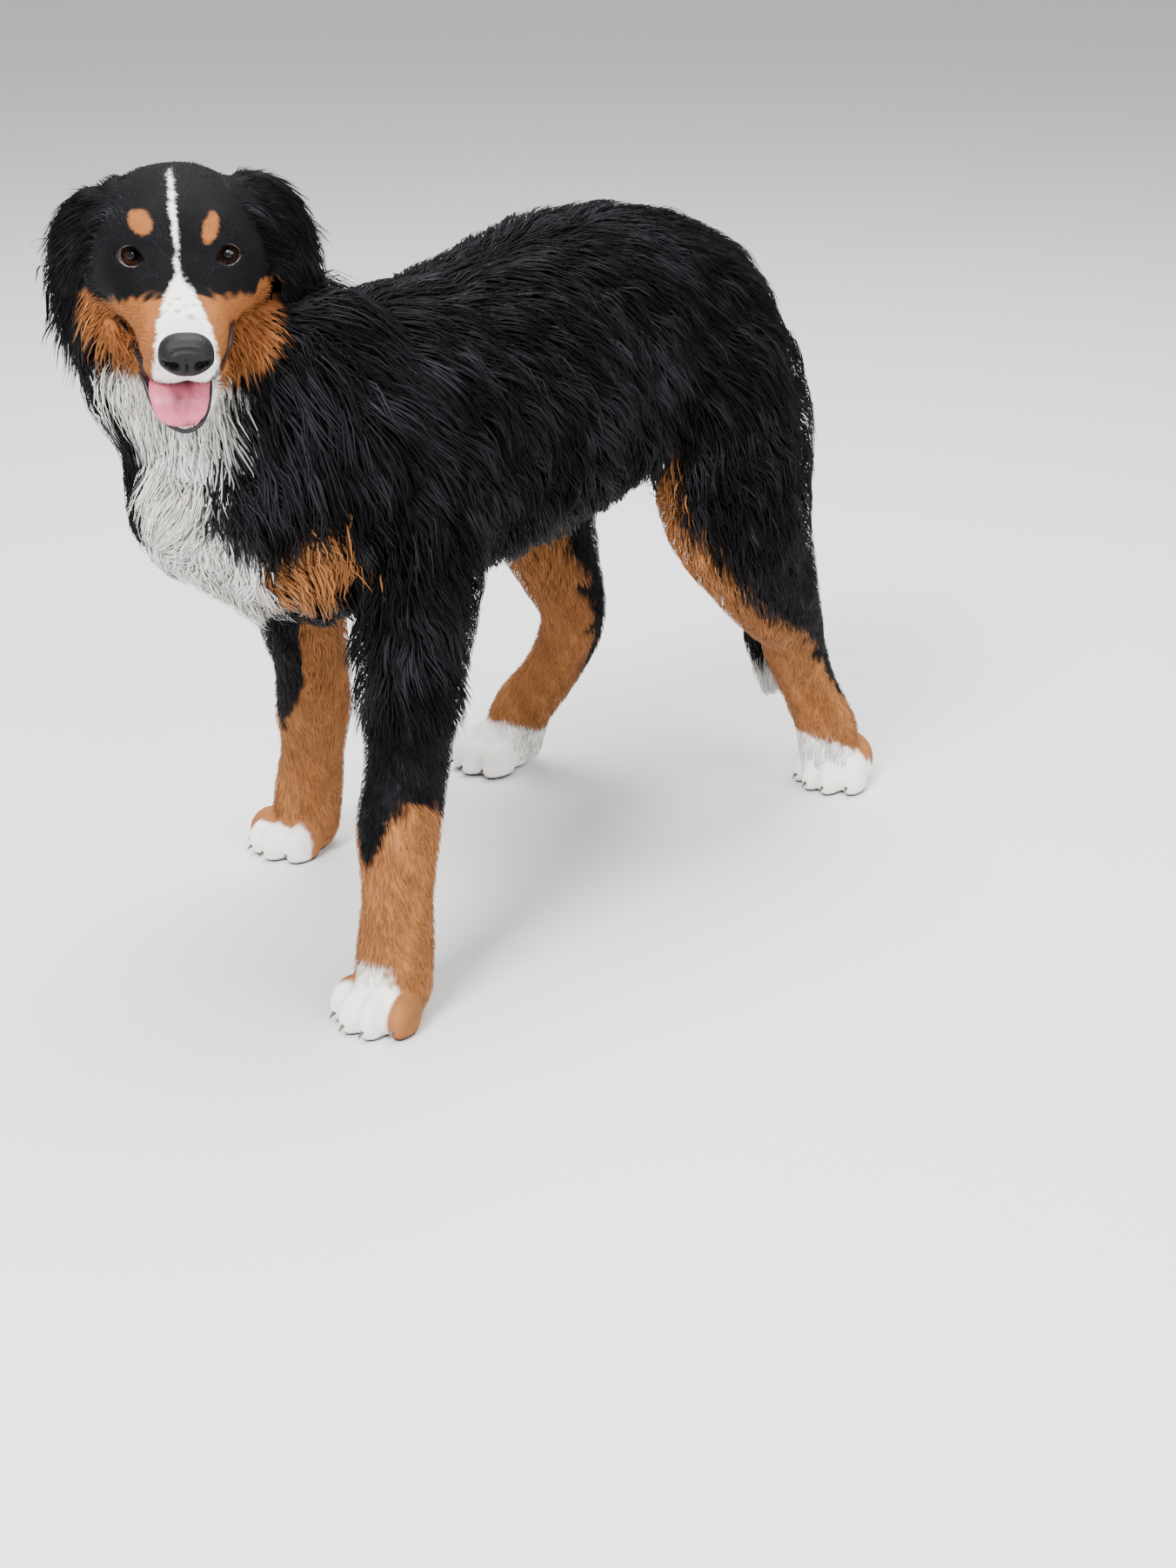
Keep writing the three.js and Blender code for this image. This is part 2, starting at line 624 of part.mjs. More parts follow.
// Where each node is parted from the rest, as a region that can be made a little wider
function regions() {
  const pawRegions = Object.entries(paws).map(([name, { at: [x, y] }]) => {
    const region = (grow) => block([x - 75, y - 90, -1], [x + 75, y + 90, pawSeam + grow]);
    return { name: `paw_${name}`, region };
  });
  const legRegion = (name) => (grow) => legs[name].solid({ rings: 11, sides: 9, lift: seamMargin + grow, cap: 1 });
  const shanks = ['left', 'right'].map((hand) => {
    const [x, y] = paws[`hind_${hand}`].at;
    const inner = hand === 'left' ? [x - 65, x + 110] : [x - 110, x + 110];
    return {
      name: `hind_leg_${hand}`,
      region: (grow) => block([inner[0] - grow, y - 220, 0], [inner[1] + grow, y + 90, kneeSeam + grow]),
    };
  });
  const throat = (grow) => {
    const plate = new THREE.BoxGeometry(500, 600, 300);
    plate.translate(0, -120, 150 - grow);
    plate.rotateX(neckSlope);
    plate.translate(...neckSeam);
    return solidOf(plate);
  };
  return [
    ...pawRegions,
    { name: 'tail', region: (grow) => tail.solid({ rings: 7, sides: 6, lift: seamMargin + grow, cap: 12 }) },
    ...shanks,
    { name: 'thigh_left', region: legRegion('hind_left') },
    { name: 'thigh_right', region: legRegion('hind_right') },
    { name: 'foreleg_left', region: legRegion('fore_left') },
    { name: 'foreleg_right', region: legRegion('fore_right') },
    { name: 'neck', region: throat },
  ];
}

const head = headSolids();
const below = block([-400, -600, -200], [400, 600, 0]);
const parted = {};
let rest = bodySolid().subtract(below).subtract(joined(head.grown));
for (const { name, region } of regions()) {
  parted[name] = rest.intersect(region(0));
  rest = rest.subtract(region(gap));
}
parted.torso = rest;

const dog = new THREE.Group();
for (const [name, solid] of Object.entries(parted)) {
  const finish = name.startsWith('paw') ? 'white' : 'coat';
  const mesh = new THREE.Mesh(geometryOf(largest(solid)), finishes[finish]);
  mesh.name = name;
  dog.add(mesh);
}
const headGroup = new THREE.Group();
headGroup.applyMatrix4(headMatrix);
dog.add(headGroup);
const headFinishes = { nose: 'nose', tongue: 'tongue', eye_left: 'eye', eye_right: 'eye' };
for (const [name, solid] of Object.entries(head.pieces)) {
  const mesh = new THREE.Mesh(geometryOf(largest(solid)), finishes[headFinishes[name] ?? 'coat']);
  mesh.name = name;
  headGroup.add(mesh);
}
dog.position.set(...standingShift);

export default dog;
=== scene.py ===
# A young Bernese mountain dog as a life-size still model: skin, coat, eyes, nose, mouth and claws
import math
import bpy
import numpy as np
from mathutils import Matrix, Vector, kdtree


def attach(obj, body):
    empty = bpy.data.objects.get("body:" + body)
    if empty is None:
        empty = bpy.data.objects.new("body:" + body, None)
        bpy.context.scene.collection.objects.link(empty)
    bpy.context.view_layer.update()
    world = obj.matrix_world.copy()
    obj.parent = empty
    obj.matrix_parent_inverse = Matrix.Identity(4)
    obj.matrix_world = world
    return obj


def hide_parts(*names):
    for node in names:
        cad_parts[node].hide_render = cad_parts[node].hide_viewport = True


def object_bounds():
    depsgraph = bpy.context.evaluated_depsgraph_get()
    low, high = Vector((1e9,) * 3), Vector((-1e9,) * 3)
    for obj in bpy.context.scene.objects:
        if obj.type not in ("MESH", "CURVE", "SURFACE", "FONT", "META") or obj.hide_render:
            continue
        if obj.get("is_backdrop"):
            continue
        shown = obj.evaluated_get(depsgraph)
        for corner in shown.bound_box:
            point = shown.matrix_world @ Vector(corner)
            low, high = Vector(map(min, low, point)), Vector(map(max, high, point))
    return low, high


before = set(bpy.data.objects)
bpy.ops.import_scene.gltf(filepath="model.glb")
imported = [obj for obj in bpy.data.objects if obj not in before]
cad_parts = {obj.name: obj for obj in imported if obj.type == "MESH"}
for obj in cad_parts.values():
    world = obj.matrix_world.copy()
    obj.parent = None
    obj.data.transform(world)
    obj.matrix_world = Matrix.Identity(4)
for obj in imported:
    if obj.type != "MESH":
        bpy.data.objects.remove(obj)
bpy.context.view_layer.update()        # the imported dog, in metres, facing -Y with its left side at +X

rng = np.random.default_rng(12)
fullTurn = 2 * math.pi


# selecting, adding, editing and moving
def picked(*pieces):  # these alone are selected, with the first one active
    bpy.ops.object.select_all(action="DESELECT")
    for piece in pieces:
        piece.select_set(True)
    if pieces:
        bpy.context.view_layer.objects.active = pieces[0]


def added(operator, **settings):  # a new object, with nothing else selected
    picked()
    operator(**settings)
    return bpy.context.object


def edited(piece, operator, **settings):  # by one operator, on the whole mesh
    picked(piece)
    bpy.ops.object.mode_set(mode="EDIT")
    bpy.ops.mesh.select_all(action="SELECT")
    operator(**settings)
    bpy.ops.object.mode_set(mode="OBJECT")


def applied(piece, kind, **settings):
    picked(piece)
    modifier = piece.modifiers.new(kind.lower(), kind)
    for key, value in settings.items():
        setattr(modifier, key, value)
    bpy.ops.object.modifier_apply(modifier=modifier.name)


def joinedUp(pieces, name):
    picked(*pieces)
    bpy.ops.object.join()
    pieces[0].name = pieces[0].data.name = name
    return pieces[0]


def spotsOf(piece, what="co"):  # the places of its vertices, or their normals
    values = np.empty(len(piece.data.vertices) * 3)
    piece.data.vertices.foreach_get(what, values)
    return values.reshape(-1, 3)


def moveTo(piece, spots):
    piece.data.vertices.foreach_set("co", np.asarray(spots, float).ravel())
    piece.data.update()


def facedOut(piece):
    edited(piece, bpy.ops.mesh.normals_make_consistent, inside=False)


def smoothShaded(piece):
    piece.data.polygons.foreach_set("use_smooth", [True] * len(piece.data.polygons))
    piece.data.update()


def vertexPainted(piece, colours):  # each vertex has its colour, including any painted sheen and shade
    layer = piece.data.attributes.new("dye", "FLOAT_COLOR", "POINT")
    data = np.ones((len(colours), 4), np.float32)
    data[:, :3] = colours
    layer.data.foreach_set("color", data.ravel())


# numbers
def unit(vectors):
    return vectors / np.maximum(np.linalg.norm(vectors, axis=-1, keepdims=True), 1e-9)


def ramp(value, low, high):  # 0 below low, 1 above high, smooth between
    t = np.clip((value - low) / (high - low), 0, 1)
    return t * t * (3 - 2 * t)


def drift(spots, scale, seed, octaves=5):  # smooth noise about 0, for places in millimetres
    source = np.random.default_rng(seed)
    total = np.zeros(len(spots))
    for _ in range(octaves):
        way = source.normal(size=3) * (fullTurn / scale) * 0.6
        total += np.sin(spots @ way + source.uniform(0, fullTurn))
    return total / math.sqrt(octaves / 2)


def turning(degrees, a=0, b=1):  # the matrix that turns axis a towards axis b, about z if none is given
    matrix = np.eye(3)
    matrix[a, a] = matrix[b, b] = math.cos(math.radians(degrees))
    matrix[b, a] = math.sin(math.radians(degrees))
    matrix[a, b] = -matrix[b, a]
    return matrix


def mixed(base, colour, share):
    return base + (np.array(colour) - base) * share[:, None]


def blended(old, new, share):
    return old * (1 - share) + new * share


# camera
view = {"place": (1.43786, -1.31846, 0.90), "turn": 45.0, "pitch": 23.0, "lens": 53.91, "sensor": 36.0}
camera = added(bpy.ops.object.camera_add, location=view["place"],
               rotation=(math.radians(90 - view["pitch"]), 0, math.radians(view["turn"])))
camera.data.sensor_width = view["sensor"]
camera.data.lens = view["lens"]
bpy.context.scene.camera = camera
print("camera placed")

# forms: the dog's shape as sections in millimetres
stance = {"shift": (19, -15.5, 0), "headAt": (-15, -292, 595), "headTurn": 55.5, "headLean": 1.0,
          "skinDepth": 2.0, "back": 588}
headTurned = turning(stance["headTurn"]) @ turning(stance["headLean"], 2, 0)
bodyPlace = (np.eye(3), np.array(stance["shift"], float))
headPlace = (headTurned, np.array(stance["headAt"], float) + stance["shift"])


def toWorld(spots, place):
    return (np.atleast_2d(spots) @ place[0].T + place[1]) / 1000


def fromWorld(spots, place):
    return (spots * 1000 - place[1]) @ place[0]


def spline(rows, t):  # value and slope of a smooth curve through the rows
    rows = np.vstack([2 * rows[0] - rows[1], rows, 2 * rows[-1] - rows[-2]])
    spans = len(rows) - 3
    station = np.clip(t, 0, 1) * spans
    i = np.minimum(station.astype(int), spans - 1)
    w = (station - i)[:, None]
    a, b, c, d = (rows[i + k] for k in range(4))
    m, k = (c - a) / 2, (d - b) / 2
    square, cube = 3 * (c - b) - 2 * m - k, 2 * (b - c) + m + k
    value = b + w * (m + w * (square + w * cube))
    return value, (m + w * (2 * square + 3 * w * cube)) * spans


class Form:  # drawn through sections of x, y, z, reach to the sides, over, under, and hair depth
    def __init__(self, name, rows, place=bodyPlace, sideAxis=(1, 0, 0), swells=(), fullness=2.0, share=0.48):
        self.name, self.place, self.swells, self.fullness, self.share = name, place, swells, fullness, share
        self.rows = np.array([list(row) + [0] * (7 - len(row)) for row in rows], float)
        self.sideAxis = np.array(sideAxis, float)
        path = self.framed(np.linspace(0, 1, 80))[0]
        self.length = np.linalg.norm(np.diff(path, axis=0), axis=1).sum()

    def framed(self, u):
        value, slope = spline(self.rows, np.atleast_1d(u))
        tangent = unit(slope[:, :3])
        side = unit(self.sideAxis - (tangent @ self.sideAxis)[:, None] * tangent)
        return value[:, :3], tangent, side, np.cross(side, tangent), value[:, 3:6], np.maximum(value[:, 6], 0)

    def depth(self, hair):  # of the skin under the coat's outline
        return self.share * hair * np.sqrt(hair / 36) + stance["skinDepth"]

    def point(self, u, v, lift=0.0):
        centre, tangent, side, over, reach, hair = self.framed(u)
        shape = lambda value: np.sign(value) * np.abs(value) ** (2 / self.fullness)
        across = np.maximum(reach[:, 0] + lift, 2) * shape(np.sin(v))
        upright = (np.where(np.cos(v) > 0, reach[:, 1], reach[:, 2]) + lift) * shape(np.cos(v))
        outward = side * across[:, None] + over * upright[:, None]
        spot = centre + outward
        outward = unit(outward)
        for x, y, z, radius, rise in self.swells:
            near = np.exp(-((spot - np.array([x, y, z])) ** 2).sum(1) / radius ** 2)
            spot = spot + outward * (rise * near)[:, None]
        return spot

    def section(self, spots):  # the nearest section, and a place's offset from its centre
        local = fromWorld(spots, self.place)
        stations = np.linspace(0, 1, 61)
        centres = self.framed(stations)[0]
        near = (local ** 2).sum(1)[:, None] - 2 * local @ centres.T + (centres ** 2).sum(1)[None]
        u = stations[near.argmin(1)]
        centre, tangent = self.framed(u)[:2]
        u = np.clip(u + ((local - centre) * tangent).sum(1) / self.length, 0, 1)
        centre, tangent, side, over, reach, hair = self.framed(u)
        offset = local - centre
        ahead, across, upright = ((offset * way).sum(1) for way in (tangent, side, over))
        return u, centre, ahead, across, upright, reach, hair

    def locate(self, spots):  # how far out of the skin a place is (1 on it), and its u, v and hair
        u, _, ahead, across, upright, reach, hair = self.section(spots)
        depth = self.depth(hair)
        wide = np.maximum(reach[:, 0] - depth, 1)
        high = np.maximum(np.where(upright > 0, reach[:, 1], reach[:, 2]) - depth, 1)
        out = np.sqrt((across / wide) ** 2 + (upright / high) ** 2 + (ahead / 14) ** 2)
        return out, u, np.arctan2(across / wide, upright / high), hair

    def outside(self, spots):  # how far out of the coat's outline a place is, and the section's centre
        _, centre, ahead, across, upright, reach, _ = self.section(spots)
        high = np.where(upright > 0, reach[:, 1], reach[:, 2])
        out = np.sqrt((across / reach[:, 0]) ** 2 + (upright / high) ** 2 + (ahead / 14) ** 2)
        return out, toWorld(centre, self.place)


back = stance["back"]
trunk = Form("trunk", [
    (-4, -340, 394, 28, 28, 28, 36), (-4, -318, 396, 68, 70, 62, 38), (-3, -278, 403, 98, 104, 102, 40),
    (0, -222, 412, 117, 126, 130, 40), (0, -150, 420, 126, 132, 138, 38), (0, -80, 426, 131, 128, 139, 36),
    (0, 0, 430, 132, 137, 132, 36), (-2, 80, 438, 127, back - 440, 120, 36),
    (-5, 150, 446, 120, back - 446, 110, 36), (-8, 210, 450, 112, 124, 100, 36),
    (-10, 260, 440, 100, 96, 90, 36), (-10, 299, 424, 78, 62, 72, 36), (-10, 326, 410, 44, 32, 42, 34)],
    fullness=2.1)
neck = Form("neck", [
    (-26, -262, 592, 54, 42, 52, 36), (-34, -266, 560, 92, 70, 92, 44), (-34, -255, 522, 114, 88, 107, 48),
    (-22, -223, 484, 122, 98, 116, 48), (-6, -175, 450, 118, 98, 112, 46), (0, -118, 430, 92, 80, 90, 40)],
    share=0.27)
legs = {name: Form(name, rows) for name, rows in {
    "foreLeft": [
        (66, -138, 455, 30, 50, 48, 30), (80, -146, 400, 44, 66, 62, 30), (90, -160, 345, 47, 62, 58, 26),
        (103, -176, 295, 43, 51, 50, 18), (115, -194, 245, 37, 43, 42, 12), (127, -212, 195, 32, 38, 34, 6),
        (135, -226, 152, 32, 34, 38), (140, -236, 105, 29, 32, 29), (142, -241, 60, 31, 33, 31),
        (143, -245, 22, 33, 31, 33)],
    "foreRight": [
        (-62, -138, 455, 30, 50, 48, 30), (-78, -140, 400, 44, 64, 62, 30), (-91, -140, 345, 47, 60, 58, 26),
        (-102, -134, 290, 43, 50, 48, 18), (-110, -122, 240, 37, 42, 40, 12),
        (-117, -110, 195, 32, 37, 34, 6), (-126, -101, 150, 32, 34, 37), (-142, -94, 105, 29, 32, 29),
        (-156, -89, 60, 31, 33, 31), (-162, -88, 22, 33, 31, 33)],
    "hindLeft": [
        (58, 208, 500, 30, 50, 58, 36), (72, 208, 450, 52, 84, 92, 36), (86, 204, 390, 58, 92, 92, 36),
        (98, 202, 330, 56, 86, 84, 32), (101, 222, 280, 46, 68, 66, 24), (94, 262, 222, 37, 52, 46, 12),
        (78, 304, 180, 31, 38, 33, 4), (66, 330, 142, 30, 32, 31), (72, 348, 98, 28, 28, 28),
        (81, 362, 60, 30, 30, 31), (85, 369, 22, 31, 30, 33)],
    "hindRight": [
        (-62, 202, 500, 30, 50, 58, 36), (-76, 196, 450, 52, 84, 92, 36), (-90, 182, 390, 58, 88, 90, 36),
        (-103, 166, 330, 56, 78, 76, 32), (-110, 166, 275, 46, 60, 58, 24), (-112, 186, 220, 37, 48, 42, 12),
        (-114, 205, 178, 31, 40, 33, 4), (-120, 209, 142, 30, 34, 31), (-140, 200, 98, 28, 30, 29),
        (-164, 188, 60, 30, 31, 31), (-174, 182, 22, 31, 31, 33)]}.items()}
tail = Form("tail", [
    (-12, 288, 480, 26, 24, 26, 22), (-18, 314, 452, 34, 30, 34, 24), (-32, 336, 404, 37, 32, 34, 26),
    (-38, 354, 342, 38, 33, 33, 28), (-34, 364, 278, 36, 32, 31, 28), (-22, 367, 206, 32, 30, 28, 26),
    (-5, 364, 138, 25, 24, 22, 20), (9, 360, 84, 13, 13, 13, 10)])
skull = Form("skull", [
    (0, -138, -59, 15, 10, 10), (0, -132, -56, 24, 18, 16), (0, -118, -52, 29, 23, 20),
    (0, -101, -47, 32, 26, 22), (0, -86, -42, 36, 27, 22), (0, -71, -35, 43, 31, 25),
    (0, -56, -24, 54, 40, 40), (0, -40, -14, 62, 55, 55), (0, -20, -8, 66, 63, 60), (0, 4, -6, 67, 64, 58),
    (0, 28, -6, 65, 59, 54), (0, 52, -8, 57, 49, 47), (0, 72, -11, 42, 34, 36), (0, 84, -14, 20, 16, 18)],
    place=headPlace,
    swells=[(0, -60, 6, 15, -3.5)] + [(hand * x, y, z, radius, rise) for x, y, z, radius, rise in (
        (24, -58, 22, 14, 3.5), (58, -28, -44, 26, 6), (25, -104, -64, 18, 4), (20, -76, -14, 14, -3))
        for hand in (-1, 1)])
jaw = Form("jaw", [
    (-4, -118, -104, 11, 4, 5), (-4, -112, -102, 18, 7, 8), (-3, -98, -97, 22, 8, 11),
    (-2, -80, -89, 27, 10, 14), (-1, -62, -80, 32, 13, 17), (0, -40, -72, 38, 15, 22),
    (0, -15, -68, 42, 15, 26), (0, 6, -70, 34, 12, 20)], place=headPlace)
tongueForm = Form("tongue", [
    (-5.5, -124, -105, 9, 2.5, 2), (-5.5, -125, -98, 16.5, 3.5, 2.5), (-5.5, -122, -88, 20, 4, 3),
    (-5.5, -113, -81, 21, 4, 3.5), (-4, -98, -77, 21, 4, 3.5), (-2, -80, -72, 20, 4, 3.5),
    (0, -64, -67, 17, 3.5, 3)], place=headPlace)
noseForm = Form("nose", [
    (0, -151.6, -55, 2.1, 2, 2), (0, -151.4, -55, 5.5, 4, 4), (0, -150.8, -55, 9.5, 7, 6.5),
    (0, -148, -55, 14.6, 10.9, 9.8), (0, -141, -54, 18.8, 14.5, 12.5),
    (0, -131, -51, 18.2, 14, 12), (0, -121, -48, 11.1, 9, 8)], place=headPlace, fullness=2.5)


def earForm(hand, name):
    drop = 0 if hand > 0 else -10
    flare = math.radians(35)
    return Form(name, [
        (hand * 42, 6, 42 + drop, 18, 8, 1), (hand * 53, 4, 40 + drop, 23, 8, 0),
        (hand * 64 + 2, 3, 30 + drop, 30, 8, -1.5), (hand * 73 + 3, 3, 12 + drop, 35, 8, -2.5),
        (hand * 78 + 5, 4, -10 + drop, 36, 8, -2.5), (hand * 79 + 6, 3, -32 + drop, 30, 7, -2.5),
        (hand * 80 + 6, 1, -50 + drop, 20, 5.5, -1.5), (hand * 80 + 6, 0, -61 + drop, 8, 3.5, -0.5)],
        place=headPlace, sideAxis=(-math.sin(flare), -hand * math.cos(flare), 0), fullness=2.6)


ears = {"earLeft": earForm(1, "earLeft"), "earRight": earForm(-1, "earRight")}
pawAt = {"foreLeft": (143, -250, 12), "foreRight": (-164, -94, -6), "hindLeft": (87, 378, 8),
         "hindRight": (-180, 170, -14)}  # x, y and heading
pawSize = {"length": 92, "width": 76}
toes = ((-1.5, -0.16), (-0.5, -0.3), (0.5, -0.3), (1.5, -0.16))  # across, and ahead as a share of the length


class Paw:  # a low pad with four toes, as rounded masses
    def __init__(self, name):
        x, y, heading = pawAt[name]
        self.name = "paw" + name[0].upper() + name[1:]
        self.place = (turning(heading), np.array([x, y, 0.0]) + stance["shift"])
        wide, long = pawSize["width"], pawSize["length"]
        self.masses = [((0, 4, 22), (wide * 0.42 - 2, long * 0.38 - 2, 29), 0)]
        radii = (wide * 0.155 - 1, long * 0.24 - 1, 20.5)
        self.masses += [((toe * wide * 0.235, long * ahead, 15), radii, toe * 6) for toe, ahead in toes]

    def locate(self, spots):
        local = fromWorld(spots, self.place)
        out = np.full(len(spots), 99.0)
        for centre, radii, _ in self.masses:
            out = np.minimum(out, np.linalg.norm((local - np.array(centre)) / np.array(radii), axis=1))
        u, v = np.clip(local[:, 2] / 70, 0, 1), np.arctan2(local[:, 0], local[:, 1])
        return out, u, v, np.zeros(len(spots))


paws = {name: Paw(name) for name in pawAt}
pawNames = [paw.name for paw in paws.values()]

# skin: one closed surface under the whole coat
skinMake = {"bodyVoxel": 0.0056, "footVoxel": 0.0030, "headVoxel": 0.0020, "bodySmooth": 6, "footSmooth": 2,
            "headSmooth": 3, "foldDepth": 0.0035}
headMasses = {  # one on each side: its place and radii
    "lipPads": ((11, -106, -66), (19, 20.5, 12.5)), "cheeks": ((47, -8, -58), (14, 27, 22)),
    "ruffs": ((53, 26, -36), (25, 23, 36)), "crowns": ((37, 8, 36), (16, 22, 10))}
mouthFolds = (([(-46, -47), (-40.5, -55), (-35, -66), (-28.5, -77), (-27, -84)], 4.4),
              ([(34, -42), (31.5, -52), (24, -66), (16.5, -78)], 3.0))  # across and height, and the width


def ballAdded(sides, rings):
    return added(bpy.ops.mesh.primitive_uv_sphere_add, segments=sides, ring_count=rings, radius=1)


def overForm(form, rings, sides, name="part", lift=None, cap=1.0, span=(0, 1)):
    piece = ballAdded(sides, rings)
    piece.name = name
    ball = spotsOf(piece)
    ring = np.arccos(np.clip(ball[:, 2], -1, 1)) / math.pi * rings
    u = span[0] + (span[1] - span[0]) * np.clip((ring - 1) / (rings - 2), 0, 1)
    centre, tangent, _, _, _, hair = form.framed(u)
    height = -form.depth(hair) if lift is None else lift
    local = form.point(u, -np.arctan2(ball[:, 1], ball[:, 0]), height)
    first, last = ring < 0.5, ring > rings - 0.5
    local[first] = (centre - tangent * cap)[first]
    local[last] = (centre + tangent * cap)[last]
    moveTo(piece, toWorld(local, form.place))
    return piece


def mass(centre, radii, place, angle=0, sides=24, rings=16):  # one rounded mass
    piece = ballAdded(sides, rings)
    ball = (spotsOf(piece) * np.array(radii)) @ turning(angle).T + np.array(centre)
    moveTo(piece, toWorld(ball, place))
    return piece


def remeshed(pieces, name, voxel, rounds):
    piece = joinedUp(pieces, name)
    applied(piece, "REMESH", mode="VOXEL", voxel_size=voxel)
    applied(piece, "SMOOTH", factor=0.5, iterations=rounds)
    return piece


def united(piece, other, operation="UNION"):
    applied(piece, "BOOLEAN", operation=operation, object=other, solver="MANIFOLD")
    bpy.data.objects.remove(other)


eye = {"side": 33, "forward": -49.2, "radius": 11.5, "lid": 1.7, "lookingAt": (1.54, -1.20, 0.90)}
eyeAt = {hand: np.array([hand * eye["side"], eye["forward"], 0.0]) for hand in (-1, 1)}


def eyeMass(hand, extra=0, sides=48, rings=32):
    return mass(eyeAt[hand], [eye["radius"] + extra] * 3, headPlace, 0, sides, rings)


def almond(count):  # the opening between the lids of the left eye, across and up
    t = np.linspace(0, 1, count // 2, endpoint=False)[:, None]
    corner, outer = np.array([-11.4, -2.4]), np.array([10.8, 0.6])
    upper, lower = np.array([-1.5, 16.0]), np.array([1.5, -15.4])
    curve = lambda a, b, c: (1 - t) ** 2 * a + 2 * t * (1 - t) * b + t ** 2 * c
    return np.vstack([curve(corner, upper, outer), curve(outer, lower, corner)])


def aroundOf(spots, count):  # the outline's point that each vertex follows
    return np.round(np.arctan2(spots[:, 1], spots[:, 0]) / fullTurn * count).astype(int) % count


def lidTurned(spots, hand):  # from the opening's own frame to the head's
    return (spots * np.array([hand, 1, 1])) @ (turning(hand * 6) @ turning(-8, 1, 2)).T + eyeAt[hand]


def lidCutter(hand, sides=48):
    piece = added(bpy.ops.mesh.primitive_cylinder_add, vertices=sides, radius=1, depth=2)
    spots = spotsOf(piece)
    outline = almond(sides)[::-1][aroundOf(spots, sides)]
    local = np.column_stack([outline[:, 0], np.where(spots[:, 2] > 0, -30.0, 0.0), outline[:, 1]])
    moveTo(piece, toWorld(lidTurned(local, hand), headPlace))
    facedOut(piece)
    return piece


bodyParts = [overForm(trunk, 60, 56, cap=4), overForm(neck, 40, 48, cap=2), overForm(tail, 40, 20, cap=3)]
bodyParts += [overForm(form, 60, 28, cap=2) for form in legs.values()]
skin = remeshed(bodyParts, "skin", skinMake["bodyVoxel"], skinMake["bodySmooth"])
for name, paw in paws.items():
    parts = [mass(centre, radii, paw.place, angle) for centre, radii, angle in paw.masses]
    parts.append(overForm(legs[name], 24, 28, span=(0.8, 1)))
    united(skin, remeshed(parts, "foot", skinMake["footVoxel"], skinMake["footSmooth"]))
headParts = [overForm(skull, 72, 64, lift=-1.5), overForm(jaw, 40, 40, lift=-1)]
headParts += [overForm(form, 40, 32, lift=-1) for form in ears.values()]
headParts += [mass((hand * x, y, z), radii, headPlace)
              for (x, y, z), radii in headMasses.values() for hand in (-1, 1)]
headParts += [eyeMass(hand, eye["lid"]) for hand in (-1, 1)]
headSkin = remeshed(headParts, "headSkin", skinMake["headVoxel"], skinMake["headSmooth"])
for hand in (-1, 1):
    united(headSkin, eyeMass(hand, 0.3), "DIFFERENCE")
    united(headSkin, lidCutter(hand), "DIFFERENCE")
united(skin, headSkin)


def foldAt(head):  # how near a place on the head is to the crease from the mouth's corner, 0 to 1
    total = np.zeros(len(head))
    for line, wide in mouthFolds:
        line = np.array(line, float)
        middle = np.interp(-head[:, 2], -line[:, 1], line[:, 0])
        low, high = line[-1, 1], line[0, 1]
        ends = ramp(head[:, 2], low - 4, low) * (1 - ramp(head[:, 2], high, high + 4))
        near = np.exp(-((head[:, 0] - middle) / wide) ** 2) * ends * ramp(-head[:, 1], 26, 36)
        total = np.maximum(total, near)
    return total


spots = spotsOf(skin)
spots[:, 2] = np.maximum(spots[:, 2], 0.0)
spots += foldAt(fromWorld(spots, headPlace))[:, None] * skinMake["foldDepth"] * headTurned[:, 1]
moveTo(skin, spots)
smoothShaded(skin)
skin.data.calc_loop_triangles()
print("skin made,", len(skin.data.loop_triangles), "triangles")

# fields: which form a place belongs to, and how its coat lies
allForms = [trunk, neck, tail, *legs.values(), skull, jaw, *ears.values(), *paws.values()]
index = {form.name: i for i, form in enumerate(allForms)}


def fieldsOf(spots):
    found = [form.locate(spots) for form in allForms]
    out, u, v, hair = (np.array([row[k] for row in found]) for k in range(4))
    share = np.exp(-6 * (out - out.min(0)))
    share /= share.sum(0)
    nearest = out.argmin(0)
    rows = np.arange(len(spots))
    return {"form": nearest, "u": u[nearest, rows], "v": v[nearest, rows], "share": share,
            "hair": (share * hair).sum(0), "allV": v}


def belongs(field, *names):  # how far a place belongs to these forms, 0 to 1
    return sum(field["share"][index[name]] for name in names)


def sidesOf(local):  # the sides of the crown, whose hair falls over the ears' roots
    inside = ramp(np.abs(local[:, 0]), 32, 48) * ramp(local[:, 1], -52, -32)
    return inside * ramp(local[:, 2], -26, 2) * (1 - 0.85 * ramp(local[:, 2], 24, 40))


def headCombed(local):  # away from the nose, then down over the cheeks
    way = unit(local - np.array([0, -150, -38]))
    far, hand = np.abs(local[:, 0]), np.sign(local[:, 0])
    way[:, 2] -= ramp(far, 30, 60) * 0.55 * ramp(-local[:, 2], -30, 20)
    way[:, 0] += hand * 0.6 * ramp(far, 36, 56) * ramp(-local[:, 2], 5, 40)
    aside = np.column_stack([hand * 0.75, np.full(len(local), 0.2), np.full(len(local), -0.6)])
    return unit(way + (aside - way) * sidesOf(local)[:, None])


